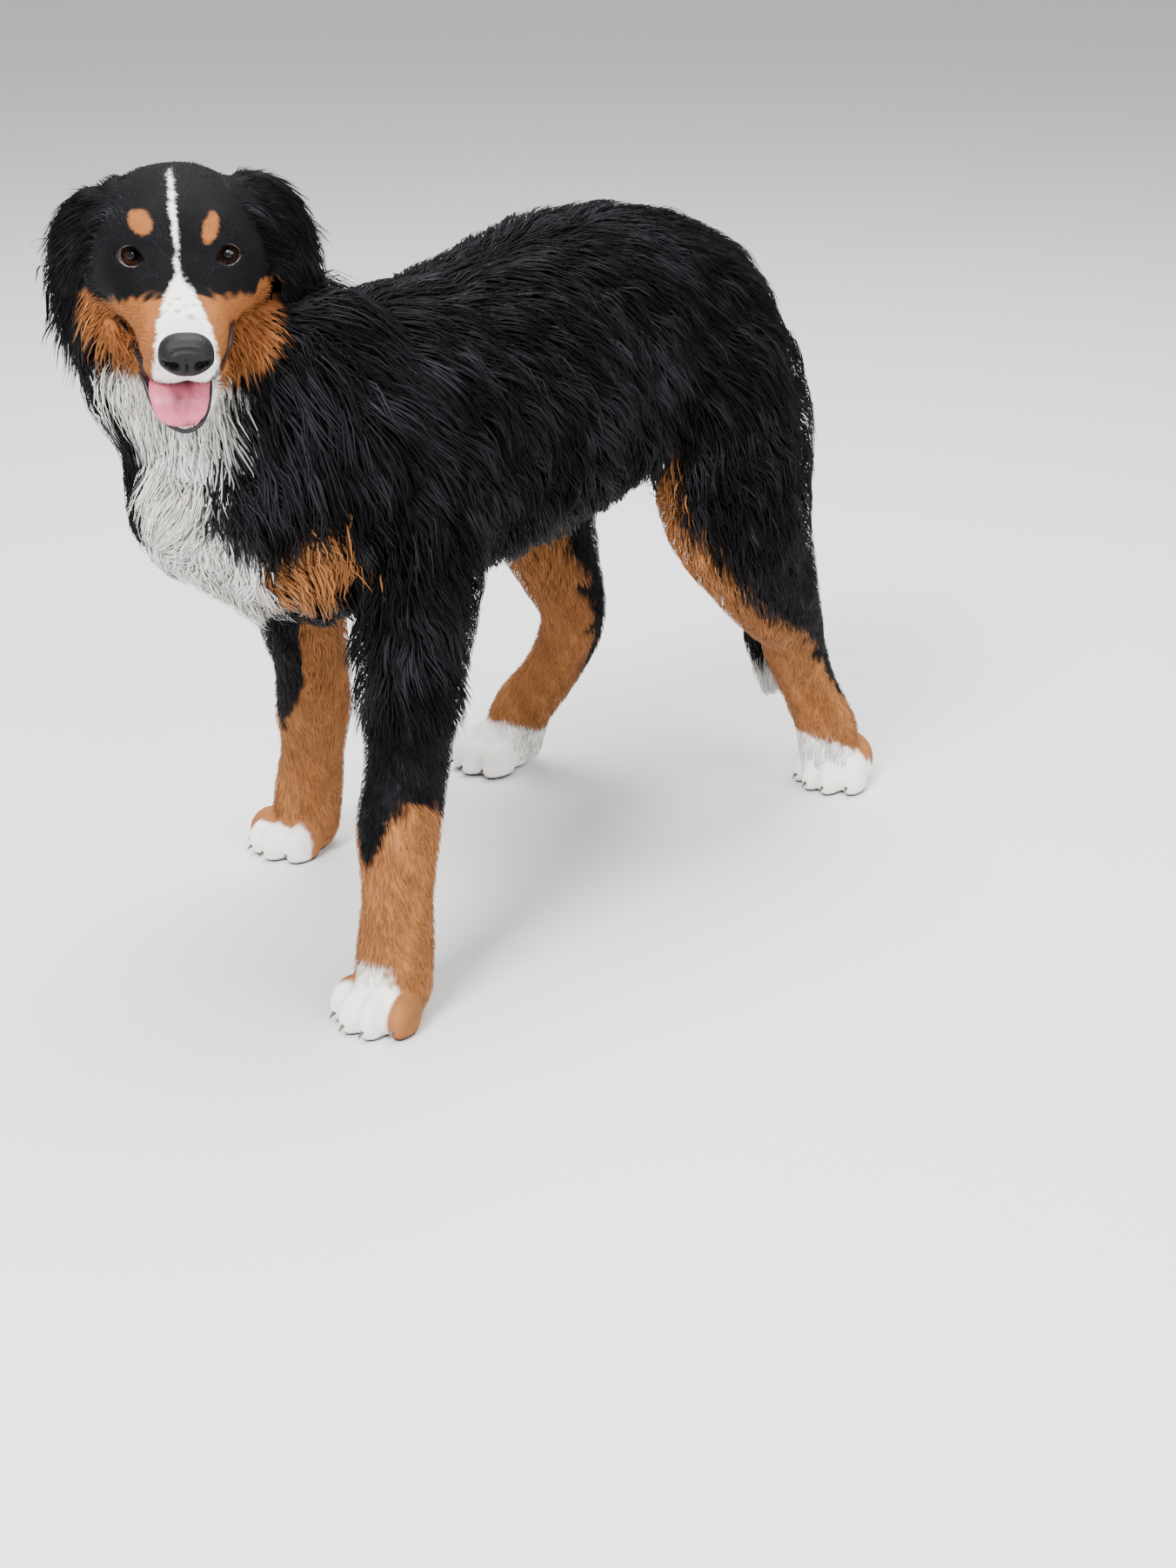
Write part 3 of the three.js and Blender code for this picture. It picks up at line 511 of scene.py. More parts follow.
def combOf(spots, field):
    ways = np.zeros((len(allForms), len(spots), 3))
    for name, way in (("trunk", (0, 0.5, -0.87)), ("neck", (0, 0.42, -0.9)), ("tail", (0.05, 0.05, -1)),
                      *((name, (0, 0.25, -0.97)) for name in legs)):
        ways[index[name]] = way
    ways[index["skull"]] = headCombed(fromWorld(spots, headPlace)) @ headTurned.T
    for name, way in (("jaw", (0, 0.75, -0.65)), ("earLeft", (0.85, 0.2, -1)), ("earRight", (-0.5, 0.2, -1))):
        ways[index[name]] = unit(np.array([way])) @ headTurned.T
    for paw in paws.values():
        ways[index[paw.name]] = np.array([0, -0.8, -0.5]) @ paw.place[0].T
    return unit(np.einsum("fn,fnk->nk", field["share"], ways))


# markings: black, tan and white, the same on skin and coat, and painted shade in the mouth
dye = {"black": (0.0045, 0.0043, 0.0052), "tan": (0.40, 0.160, 0.054), "white": (0.93, 0.915, 0.88),
       # the mouth's colour is its dark lining, made darker still as painted shade
       "cream": (0.84, 0.78, 0.68), "grey": (0.16, 0.15, 0.15), "mouth": (0.03, 0.008, 0.010),
       # the maroon also paints shade on the tongue towards the mouth
       "pad": (0.02, 0.018, 0.018), "pink": (0.60, 0.13, 0.20), "maroon": (0.11, 0.018, 0.03)}
blaze = np.array([  # height, middle and half width
    [75, -4, -1], [60, -4, 0.2], [53, -3.5, 1.0], [44, -3.3, 1.6], [30, -2.8, 1.8], [16, -2.6, 1.0],
    [2, -2.2, 1.0], [-7, -2, 1.8], [-12, -1.6, 4.6], [-17, -1.2, 8.6], [-24, -1, 12.5],
    [-35, -0.5, 17.8], [-50, 0, 21], [-62, 0, 22.5], [-90, 0, 24]], float)
browSpots = ((-26, 25.5, 7.9, 7.5, -0.12), (22.3, 21.5, 5.2, 9.8, 0.22))  # across, height, two radii, slant
lipLine = np.array([[62, -50], [66, -52], [84, -70], [97, -82], [108, -92], [117, -101], [123, -107]], float)
freckles = ((-3, -101, 1.9), (5, -121, 3.0), (-4, -115, 2.1), (-9, -106, 1.6), (8, -108, 1.5),
            (-12, -112, 1.2), (1, -110, 1.4))  # across, forward and radius
bibAt = {"heights": [300, 345, 364, 374, 392, 401, 416, 426, 440, 475],
         "right": [28, 28, 26, 21, 19, 18, 17, 18, 20, 21],
         "left": [-12, -9, -5, -2, -1, -1, -2, -4, -7, -12]}  # degrees, as seen from in front
hindLimit = {"heights": [48, 78, 100, 125, 160, 194, 221, 275, 335],
             "outer": [260, 140, 115, 95, 82, 62, 34, 28, 0],
             "inner": [260, 150, 112, 96, 90, 88, 88, 80, 50]}  # degrees from the leg's front


def laid(mark, where, more):
    return np.where(where, np.maximum(mark, more), mark)


def legMarks(spots, field, z, wobble):  # tan below and on the inner side, with white toes
    tan = white = np.zeros(len(spots))
    for name in legs:
        on = belongs(field, name, paws[name].name) > 0.45
        outer = 1 if name.endswith("Left") else -1
        v = np.degrees(field["allV"][index[name]]) * outer  # 0 behind, 90 outside, 180 in front
        px, py, pz = fromWorld(spots, paws[name].place).T
        px = px * outer
        if name == "foreLeft":
            edge = np.interp(np.abs(v), [0, 45, 70, 119, 139, 165, 180], [146, 150, 169, 177, 173, 136, 131])
            toes = ramp(-19 + 0.6 * wobble - py, -3, 3) * (1 - ramp(px, 21, 25))
        elif name == "foreRight":
            edge = np.where(v < 0, np.interp(-v, [0, 20, 40, 122, 142, 180], [146, 160, 268, 262, 180, 138]),
                            np.interp(v, [0, 60, 119, 180], [146, 165, 172, 136]))
            toes = ramp(-33 - 0.6 * px + 0.6 * wobble - py, -3, 3)
        else:
            limit = np.where(v > 0, np.interp(z, hindLimit["heights"], hindLimit["outer"]),
                             np.interp(z, hindLimit["heights"], hindLimit["inner"]))
            edge = z + (limit + wobble - np.abs(np.mod(v, 360) - 180)) * 0.8
            start, slope = (31, 0.72) if name == "hindLeft" else (50, 0.2)
            toes = ramp(start - slope * py + 0.6 * wobble - pz, -3, 3)
        tan = laid(tan, on, ramp(edge + wobble - z, -5, 5))
        high = {"foreLeft": 58, "foreRight": 40}.get(name, 70)
        white = laid(white, on, toes * ramp(high - pz, 0, 8))
    return tan, white


def markingsOf(spots, field, normals):
    world = spots * 1000 - np.array(stance["shift"])
    x, y, z = world.T
    head = fromWorld(spots, headPlace)
    hx, hy, hz = head.T
    faceDown = -(normals @ headTurned)[:, 2]
    wobble = 3 * drift(world, 26, 3) + 1.5 * drift(world, 9, 4)
    fine = 0.5 * drift(world, 9, 5) + 0.4 * drift(world, 4, 6)
    onJaw = belongs(field, "jaw")
    tan, white = legMarks(spots, field, z, wobble)
    # throat and chest
    around = np.degrees(field["allV"][index["neck"]])
    throat = ramp(24 + wobble - np.abs(np.mod(around - 151 + 180, 360) - 180), -4, 4)
    throat *= ramp(z, 446, 462) * (1 - ramp(hz, -82, -70))
    bearing = np.degrees(np.arctan2(x + 4, -(y + 150)))
    right, left = (np.interp(z, bibAt["heights"], bibAt[side]) for side in ("right", "left"))
    bib = ramp(right + 0.5 * wobble - bearing, -2, 2) * ramp(bearing + 0.5 * wobble - left, -2, 2)
    bib *= ramp(z, 300, 316) * (1 - ramp(z, 480, 505)) * ramp(-y, 200, 220)
    body = belongs(field, "trunk", "neck", "jaw", "foreLeft", "foreRight") > 0.5
    onNeck = belongs(field, "neck") > belongs(field, "trunk")
    white = laid(white, body & (onNeck | (z > 478)), throat)
    white = laid(white, body & (z < 505), bib)
    patch = ramp(1.05 + 0.03 * wobble - np.hypot((y + 250) / 24, (z - 346) / 35), -0.1, 0.1) * ramp(x, 8, 20)
    tan = laid(tan, body, patch)
    white = np.where(body, white * (1 - patch * ramp(bearing, 23, 28)), white)
    # head
    nearHead = (belongs(field, "skull", "jaw", "earLeft", "earRight") > 0.3) | (hz > -92)
    middle, wide = (np.interp(-hz, -blaze[:, 0], blaze[:, k]) for k in (1, 2))
    streak = ramp(wide + fine - np.abs(hx - middle), -1.2, 1.2) * ramp(-hy, 12, 34)
    for sx, sz, rx, rz, slant in browSpots:
        aside = (hx - sx - slant * (hz - sz)) / rx
        brow = ramp(1.0 + 0.06 * fine - np.hypot(aside, (hz - sz) / rz), -0.15, 0.15)
        tan = laid(tan, nearHead, brow * ramp(-hy, 20, 30))
    edge = np.interp(np.abs(hx), [0, 18, 30, 48, 58, 75], [-21, -21.5, -25, -29, -31, -36])
    edge = edge + np.where(hx > 50, 12 * ramp(hx, 50, 58), 0)
    low = np.interp(np.abs(hx), [0, 30, 48, 63, 75], [-96, -93, -88, -78, -66])
    cheek = ramp(edge + 0.5 * wobble - hz, -2.5, 2.5) * ramp(hz - low + 0.5 * wobble, -2.5, 2.5)
    cheek *= ramp(6 + wobble - hy, -4, 4) * (1 - ramp(np.abs(hx), 68, 76))
    cheek *= belongs(field, "earLeft", "earRight") < 0.5
    tan = laid(tan, nearHead, cheek)
    white = np.where(nearHead, np.maximum(streak, onJaw * ramp(-hy, 10, 30) * (1 - cheek)), white)
    white = laid(white, belongs(field, "tail") > 0.4, ramp(112 + 2 * wobble - z, -6, 6))
    colour = mixed(np.tile(np.array(dye["black"]), (len(spots), 1)), dye["tan"], tan)
    colour = colour * (1 - (nearHead * tan)[:, None] * np.array([0.10, 0.20, 0.30]))
    colour *= (1 + 0.07 * drift(world, 40, 8) + 0.04 * drift(world, 12, 9))[:, None]
    cream = np.tile(np.array(dye["white"]), (len(spots), 1))
    cream = mixed(cream, dye["cream"], ramp(drift(world, 40, 10), 0, 1.6) * 0.4)
    colour = mixed(colour, cream, white)
    # freckles, the inside of the mouth with painted shade, a painted shadow in the creases at its corners,
    # and the soles
    spotted = np.zeros(len(spots))
    for fx, fy, reach in freckles:
        dot = ramp(1.3 - np.hypot(hx - fx, hy - fy) / reach, 0, 0.6)
        spotted = np.maximum(spotted, dot * (hz > -50) * 0.75)
    bridge = ramp(-hy, 113, 124) * ramp(hz, -48, -38) * (hz < -20) * (1 - ramp(np.abs(hx), 10, 18))
    colour = mixed(colour, dye["grey"], np.maximum(spotted, 0.22 * bridge))
    inMouth = (hy < -50) & (np.abs(hx) < 46) & (hz > -112) & (hz < -48)
    roof = ramp(faceDown, 0.72, 0.88) * belongs(field, "skull") * ramp(hy, -112, -104) * (hz < -58)
    bed = ramp(hz - np.interp(-hy, lipLine[:, 0], lipLine[:, 1]), -2.5, -0.5) * onJaw
    # the inside of the mouth: its dark lining, painted darker still as shade
    mouth = np.where(inMouth, np.maximum(roof, bed), 0)
    # a painted shadow along the crease from each corner of the mouth, weaker on the right
    creaseShadow = ramp(foldAt(head), 0.25, 0.6) * np.where(hx < 0, 1.0, 0.85)
    mouth = laid(mouth, nearHead & (belongs(field, "skull", "jaw") > 0.5), creaseShadow)
    colour = mixed(colour, dye["mouth"], mouth)
    colour = mixed(colour, dye["pad"], ramp(4 - z, 0, 2))
    return colour, {"tan": tan, "white": white, "mouth": mouth}


skinSpots, skinNormals = spotsOf(skin), spotsOf(skin, "normal")
skinField = fieldsOf(skinSpots)
skinColour, skinMarks = markingsOf(skinSpots, skinField, skinNormals)
# the tan on the skin is painted darker, as painted shade of the coat over it
vertexPainted(skin, skinColour * (1 - 0.3 * skinMarks["tan"] * (1 - skinMarks["white"]))[:, None])
print("markings painted on the skin")

# coat: thin tapered tufts rooted in the skin
coat = {"base": 8.0, "growth": 0.030, "legs": 4.5, "tail": 1.5, "longWidth": 1.7, "shortWidth": 0.85,
        "longDensity": 70000, "midDensity": 100000, "shortDensity": 270000, "wave": 0.4, "roll": 0.22,
        "clump": (1 / 40, 0.3), "strand": (1 / 8, 0.25), "relief": 0.2, "flatness": 0.3,
        "taper": (0.75, 1.0, 0.86, 0.5), "patch": 0.003, "most": 190000, "sunk": 0.0012, "clear": 0.0008}
kinds = (("Long", 32, 999, 4), ("Middle", 20, 32, 3), ("Low", 10, 20, 2), ("Short", 0, 10, 1))  # and segments


def elbowFront(spots, field):  # the fuller hair in front of the left upper leg
    x, y, z = spots.T
    height = ramp(z, 0.225, 0.27) * (1 - ramp(z, 0.36, 0.40))
    return height * ramp(-y, 0.17, 0.20) * ramp(x, 0.03, 0.06) * belongs(field, "foreLeft")


def lengthsOf(spots, field):  # of the hair, in millimetres
    hair, onJaw = field["hair"], belongs(field, "jaw")
    length = coat["base"] + coat["growth"] * hair ** 2
    length = length + coat["legs"] * belongs(field, *legs)
    length = blended(length, coat["base"] + coat["tail"] * hair, belongs(field, "tail"))
    head = fromWorld(spots, headPlace)
    hx, hy, hz = head.T
    fluffy = ramp(np.abs(hx), 38, 58) * ramp(-hz, 15, 45)
    headLength = 6 + 5 * ramp(hy, -70, -20) + 11 * ramp(hy, -30, 20) + 10 * fluffy + 18 * sidesOf(head)
    headLength *= 1 - 0.35 * foldAt(head + np.array([0, 12, 0]))
    headLength += 10 * onJaw * ramp(hy, -115, -60)
    fromEye = np.linalg.norm(np.column_stack([np.abs(hx) - eye["side"], hy - eye["forward"], hz]), axis=1)
    headLength *= 0.4 + 0.6 * ramp(fromEye, 15, 26)
    length = blended(length, headLength, belongs(field, "skull", "jaw"))
    length = length + 22 * elbowFront(spots, field)
    length = blended(length, 26 + 24 * ramp(-hz, -10, 45), belongs(field, *ears))
    collar = ramp(hz, -125, -95) * (1 - ramp(hy, -30, 5)) * (1 - ramp(np.abs(hx), 55, 75))
    length = length - np.maximum(length - 26, 0) * collar
    return blended(length, 7.0, belongs(field, *pawNames))


def bareSkin():  # soles, eyes, nose and inside the mouth
    head = fromWorld(skinSpots, headPlace)
    bare = (skinSpots[:, 2] < 0.003) | (skinMarks["mouth"] > 0.5)
    for hand in (-1, 1):
        reach = np.linalg.norm(head - eyeAt[hand], axis=1)
        bare |= (reach < eye["radius"] + 3.4) & (head[:, 1] < eye["forward"])
    noseReach = np.linalg.norm((head - np.array([0, -140, -51])) / np.array([19, 19, 15]), axis=1)
    return bare | (noseReach < 1)


def sampledRoots():
    corners = np.empty(len(skin.data.loop_triangles) * 3, int)
    skin.data.loop_triangles.foreach_get("vertices", corners)
    corners = corners.reshape(-1, 3)
    a, b, c = (skinSpots[corners[:, k]] for k in range(3))
    area = np.linalg.norm(np.cross(b - a, c - a), axis=1) / 2
    length = lengthsOf(skinSpots, skinField)
    density = np.interp(length, [8, 13, 26, 40], [
        coat["shortDensity"], coat["shortDensity"] * 0.6, coat["midDensity"] * 0.8, coat["longDensity"]])
    density = density * (1 + 0.7 * skinMarks["white"] * ramp(length, 14, 26))
    density = density * (1 + 0.4 * belongs(skinField, "tail")) * (1 - bareSkin())
    total = np.cumsum(area * density[corners].mean(1))
    count = int(total[-1])
    pick = np.searchsorted(total, (np.arange(count) + rng.uniform(0, 1, count)) / count * total[-1])
    pick = corners[np.minimum(pick, len(corners) - 1)]
    r, s = np.sqrt(rng.uniform(0, 1, count)), rng.uniform(0, 1, count)
    share = np.column_stack([1 - r, r * (1 - s), r * s])
    roots, normal = (np.einsum("nk,nkj->nj", share, values[pick]) for values in (skinSpots, skinNormals))
    return roots, unit(normal)


def held(spots, limit):  # no place stands further out than the coat's own outline
    nearest = np.full(len(spots), 99.0)
    centre = np.zeros_like(spots)
    for form in (trunk, neck, tail, *legs.values()):
        out, middle = form.outside(spots)
        closer = out < nearest
        nearest[closer], centre[closer] = out[closer], middle[closer]
    shrink = np.minimum(limit / np.maximum(nearest, 1e-6), 1)[:, None]
    return centre + (spots - centre) * shrink, nearest


def grown(tufts, segments, hold):  # each tuft's path: it rises, then lies over along the body
    roots, normal, comb, length = (tufts[key] for key in ("roots", "normal", "comb", "length"))
    paths = np.empty((len(roots), segments + 1, 3))
    paths[:, 0] = roots - normal * coat["sunk"]
    side = np.cross(normal, comb)
    for k in range(segments):
        t = (k + 0.5) / segments
        angle = tufts["lift"] * (2.0 - 2.1 * t)
        angle = angle + tufts["roll"] * np.cos(fullTurn * 1.05 * t + tufts["rollPhase"])
        way = comb * np.cos(angle)[:, None] + normal * np.sin(angle)[:, None]
        way = way + side * (tufts["wave"] * np.cos(fullTurn * 0.95 * t + tufts["wavePhase"]))[:, None]
        way[:, 2] -= 0.3 * t * np.minimum(length / 60, 1)
        paths[:, k + 1] = paths[:, k] + unit(way) * (length / 1000 / segments)[:, None]
        if hold:
            paths[:, k + 1] = held(paths[:, k + 1], tufts["limit"])[0]
    return paths


def pulled(paths, tufts, spacing, pull, seed):  # tufts lean towards the middle of their lock
    roots, length = tufts["roots"], tufts["length"]
    source = np.random.default_rng(seed)
    chosen = source.permutation(len(roots))[:max(1, int(len(roots) * spacing))]
    tree = kdtree.KDTree(len(chosen))
    for i, k in enumerate(chosen):
        tree.insert(roots[k], i)
    tree.balance()
    leader = chosen[np.array([tree.find(root)[1] for root in roots])]
    reach = (length / length[leader])[:, None, None]
    lead = roots[leader][:, None] + (paths[leader] - roots[leader][:, None]) * reach
    t = np.linspace(0, 1, paths.shape[1])[None, :, None]
    return paths + (lead - paths) * pull * t ** 1.2


def tuftMesh(name, paths, tufts, chart):
    normal, width, colours, tips = (tufts[key] for key in ("normal", "width", "colour", "tips"))
    count, rings = len(paths), paths.shape[1] - 1
    tangent = unit(np.gradient(paths, axis=1))
    side = unit(np.cross(tangent, normal[:, None]))
    upward = unit(np.cross(side, tangent))
    taper = np.interp(np.arange(rings) / rings, [0, 0.25, 0.5, 0.75], coat["taper"])
    half = (width / 2000)[:, None, None] * taper[None, :, None]
    middle, side, upward = paths[:, :rings], side[:, :rings], upward[:, :rings]
    crown = middle + upward * half * 2 * coat["flatness"]
    ring = np.stack([middle + side * half, crown, middle - side * half], 2)
    spots = np.concatenate([ring.reshape(count, rings * 3, 3), paths[:, rings:]], 1)
    each = rings * 3 + 1
    quads = []
    for k in range(rings - 1):
        for j in range(3):
            a, b = 3 * k + j, 3 * k + (j + 1) % 3
            quads.append((a, a + 3, b + 3, b))
    triangles = [(0, 1, 2)]  # the root's end is closed by one face
    triangles += [(3 * rings - 3 + j, each - 1, 3 * rings - 3 + (j + 1) % 3) for j in range(3)]
    first = (np.arange(count) * each)[:, None, None]
    quadLoops = (first + np.array(quads, int).reshape(-1, 4)[None]).reshape(-1)
    triangleLoops = (first + np.array(triangles)[None]).reshape(-1)
    loops = np.concatenate([quadLoops, triangleLoops])
    quadCount, triangleCount = len(quadLoops) // 4, len(triangleLoops) // 3
    starts = np.concatenate([np.arange(quadCount) * 4, len(quadLoops) + np.arange(triangleCount) * 3])
    mesh = bpy.data.meshes.new(name)
    mesh.vertices.add(count * each)
    mesh.vertices.foreach_set("co", spots.ravel())
    mesh.loops.add(len(loops))
    mesh.loops.foreach_set("vertex_index", loops)
    mesh.polygons.add(len(starts))
    mesh.polygons.foreach_set("loop_start", starts)
    mesh.polygons.foreach_set("use_smooth", np.ones(len(starts), bool))
    mesh.update(calc_edges=True)
    piece = bpy.data.objects.new(name, mesh)
    bpy.context.scene.collection.objects.link(piece)
    along = np.append(np.repeat(np.arange(rings) / rings, 3), 1.0)
    # painted shade darkens each tuft towards its root, and a painted sheen lightens black tufts towards their
    # tips
    rootShadeTipSheen = colours[:, None] * (0.84 + 0.16 * along)[None, :, None]
    rootShadeTipSheen = rootShadeTipSheen + (tips - colours)[:, None] * (along ** 2)[None, :, None]
    vertexPainted(piece, rootShadeTipSheen.reshape(-1, 3))
    across = np.append(np.tile([-0.5, 0.0, 0.5], rings), 0.0)
    patch = chart[:, None] + coat["patch"] * np.column_stack([across, along - 0.5])[None]
    lie = np.empty((count, each, 3))  # millimetres across and along each tuft, for the strands in its finish
    lie[..., 0] = across * width[:, None] + tufts["offset"][:, None]
    lie[..., 1] = along * tufts["length"][:, None]
    lie[..., 2] = tufts["offset"][:, None] * 3
    layer = mesh.attributes.new("lie", "FLOAT_VECTOR", "POINT")
    layer.data.foreach_set("vector", lie.astype(np.float32).ravel())
    uv = mesh.uv_layers.new(name="OFBake")
    uv.data.foreach_set("uv", patch.reshape(-1, 2)[loops].astype(np.float32).ravel())
    return piece, quadCount * 2 + triangleCount


roots, normal = sampledRoots()
count = len(roots)
field = fieldsOf(roots)
length = lengthsOf(roots, field) * rng.uniform(0.78, 1.15, count)
comb = combOf(roots, field)
comb = unit(comb - (comb * normal).sum(1)[:, None] * normal)
world = roots * 1000
swirl = 0.17 * drift(world, 80, 21) + 0.12 * drift(world, 26, 22) + rng.normal(0, 0.06, count)
comb = unit(comb * np.cos(swirl)[:, None] + np.cross(normal, comb) * np.sin(swirl)[:, None])
longness = ramp(length, 12, 50)
width = coat["shortWidth"] + (coat["longWidth"] - coat["shortWidth"]) * longness
width *= rng.uniform(0.75, 1.25, count)
lift = np.arcsin(np.clip(trunk.depth(field["hair"]) / length, 0.13, 0.5)) + 0.05 * drift(world, 26, 23)
lift = np.clip(lift + rng.normal(0, 0.04 + 0.06 * (length < 14), count), 0.09, 0.6)
onLegs, onHead, onElbow = belongs(field, *legs), belongs(field, "skull", "jaw"), elbowFront(roots, field)
lift = lift * (1 + 0.3 * onLegs) * (1 - 0.4 * ramp(normal[:, 2], 0.5, 0.9))
headRoots = fromWorld(roots, headPlace)
lift = np.maximum(np.maximum(lift, 0.5 * sidesOf(headRoots) * onHead), 0.45 * onElbow)
relief = coat["relief"] * (1 + drift(world, 34, 26)) + rng.uniform(-0.05, 0.3, count)
relief = relief * (1 - 0.7 * onLegs) - 0.15 * belongs(field, "neck")
limit = 1 - relief * np.maximum(1 - held(roots, 9.0)[1], 0.03) + 0.6 * onElbow
reach = (comb * np.cos(lift)[:, None] + normal * np.sin(lift)[:, None]) * (0.0005 * length)[:, None]
reach = reach + rng.normal(0, 1, reach.shape) * (0.0005 + 0.00005 * length)[:, None]  # feathered edges
colour, marks = markingsOf(roots + reach, field, normal)  # a tuft has the colour of where its middle lies
black = np.clip(1 - marks["white"] - marks["tan"], 0, 1)
# painted sheen: grey highlight bands along the crests of the coat's waves and in patches on the face, with
# the black painted darker between them, varied at random per tuft
sheenBands = ramp(-drift(world, 34, 26), 0.1, 1.6) + 0.6 * ramp(drift(world, 90, 33), 0.2, 1.6)
sheenBands = sheenBands + 1.2 * onHead * ramp(drift(world, 22, 34), 0.0, 1.5) * ramp(-headRoots[:, 1], 10, 40)
paintedSheen = (0.6 + 2.4 * sheenBands) * np.exp(rng.normal(0, 0.3, count))
colour = colour * (1 + (paintedSheen - 1) * black * (1 - marks["mouth"]))[:, None]
colour = colour * np.clip(rng.normal(1, 0.09, count), 0.7, 1.3)[:, None]
plan = {"roots": roots, "normal": normal, "comb": comb, "length": length, "lift": lift, "limit": limit,
        "width": width * (1 - 0.25 * marks["white"] * longness), "colour": colour,
        # black tufts are painted lighter at their tips, a painted sheen
        "tips": colour * (1 + 0.4 * black)[:, None], "offset": rng.uniform(0, 900, count),
        "wave": coat["wave"] * longness * (1 - 0.4 * marks["white"]) * (0.7 + 0.3 * drift(world, 60, 24)),
        "wavePhase": 2.4 * drift(world, 48, 25), "rollPhase": 2.6 * drift(world, 56, 27),
        "roll": coat["roll"] * longness * (0.7 + 0.3 * drift(world, 70, 28))}
print("coat planned,", count, "tufts")

groups = {"coatTrunk": ["trunk"], "coatNeck": ["neck"], "coatTail": ["tail"],
          "coatHead": ["skull", "jaw"], "coatEars": ["earLeft", "earRight"]}
groups.update({paws[name].name.replace("paw", "coat"): [name, paws[name].name] for name in legs})
coatPieces, coatTriangles = [], 0
for name, members in groups.items():
    numbers = sorted(index[member] for member in members)
    inGroup = np.isin(field["form"], numbers)
    for kind, low, high, segments in kinds:
        rows = np.flatnonzero(inGroup & (length >= low) & (length < high))
        if len(rows) == 0:
            continue
        most = coat["most"] // (6 * segments - 2)
        rows = rows[np.argsort(roots[rows, 1], kind="stable")]
        for part, some in enumerate(np.array_split(rows, math.ceil(len(rows) / most))):
            tufts = {key: value[some] for key, value in plan.items()}
            paths = grown(tufts, segments, name not in ("coatHead", "coatEars"))
            if kind == "Long":
                paths = pulled(paths, tufts, *coat["clump"], 31)
            if kind != "Short":
                paths = pulled(paths, tufts, *coat["strand"], 32)
            paths[..., 2] = np.maximum(paths[..., 2], coat["clear"])
            column = np.searchsorted(np.array(numbers), field["form"][some])
            chart = np.column_stack([(column + 0.02 + 0.96 * field["u"][some]) / len(members),
                                     0.02 + 0.96 * (field["v"][some] / fullTurn + 0.5)])
            piece, faces = tuftMesh(f"{name}{kind}{part + 1}", paths, tufts, chart)
            coatPieces.append(piece)
            coatTriangles += faces
            print(piece.name, len(some), "tufts,", faces, "triangles")
print("coat made,", coatTriangles, "triangles")

# eyes and the rims of their lids
rim = {"points": 720, "tube": 0.25, "wide": 1.2, "deep": 1.1, "over": 2.3, "grow": 1.03}
eyes, rims = [], []
for hand, name in ((1, "eyeLeft"), (-1, "eyeRight")):
    piece = eyeMass(hand, 0, 64, 48)
    piece.name = name
    smoothShaded(piece)
    eyes.append(piece)
for hand in (-1, 1):
    piece = added(bpy.ops.mesh.primitive_torus_add, major_segments=72, minor_segments=10, major_radius=1,
                  minor_radius=rim["tube"])
    ball = spotsOf(piece)
    reach = np.hypot(ball[:, 0], ball[:, 1]) - 1
    centre = almond(rim["points"])[aroundOf(ball, rim["points"])] * rim["grow"]
    flat = centre + unit(centre) * (reach / rim["tube"] * rim["wide"])[:, None]
    depth = np.sqrt(np.maximum((eye["radius"] + rim["over"]) ** 2 - (centre ** 2).sum(1), 1))
    depth = depth + ball[:, 2] / rim["tube"] * rim["deep"]
    local = np.column_stack([flat[:, 0], -depth, flat[:, 1]])
    moveTo(piece, toWorld(lidTurned(local, hand), headPlace))
    facedOut(piece)
    smoothShaded(piece)
    rims.append(piece)
lidRims = joinedUp(rims, "lidRims")
print("eyes set")

# nose, tongue, lips
nostrils = ((8.8, -57.8, 3.4, 2.8, 7.5), (12.4, -56.6, 2.8, 1.8, 6.5), (15.2, -55.2, 1.8, 1.2, 4))
nose = overForm(noseForm, 150, 110, "nose", lift=0, cap=0.3)
local = fromWorld(spotsOf(nose), headPlace)
side = np.abs(local[:, 0])
pits = np.zeros(len(local))
for cx, cz, rx, rz, deep in nostrils:
    pit = np.exp(-(((side - cx) / rx) ** 2 + ((local[:, 2] - cz) / rz) ** 2) ** 1.5)
    pits = np.maximum(pits, deep * pit)
local[:, 1] += pits * ramp(-local[:, 1], 128, 136)
local[:, 0] *= 1 - 0.24 * ramp(-local[:, 2], 57, 68)
groove = np.exp(-(local[:, 0] / 0.9) ** 2) * ramp(-local[:, 2], 50, 56)
local[:, 1] += 2.2 * groove * ramp(-local[:, 1], 135, 140)
moveTo(nose, toWorld(local, headPlace))
smoothShaded(nose)
tongue = overForm(tongueForm, 60, 56, "tongue", lift=0)
local = fromWorld(spotsOf(tongue), headPlace)
_, u, v, _ = tongueForm.locate(toWorld(local, headPlace))
dip = np.exp(-(local[:, 0] / 3.5) ** 2) * (np.cos(v) > 0) * 2.2
local -= tongueForm.framed(u)[3] * dip[:, None]
moveTo(tongue, toWorld(local, headPlace))
# the tongue is painted darker towards the mouth along its middle: partly its own maroon with streaks, partly
# painted shade
inside = ramp(local[:, 2], -104, -84) * np.exp(-((local[:, 0] + 5) / 11) ** 2)
streaks = 0.5 + 0.5 * np.sin(local[:, 0] * 2.3 + 0.6 * np.sin(local[:, 2] * 0.5))
pink = np.tile(np.array(dye["pink"]), (len(local), 1))
vertexPainted(tongue, mixed(pink, dye["maroon"], inside * (0.65 + 0.35 * streaks)))
smoothShaded(tongue)


def edgeForm(name, rows):  # round in section, from across, forward, height and radius
    return Form(name, [(*row, row[3], row[3]) for row in rows], place=headPlace, sideAxis=(0, -1, 0.01))


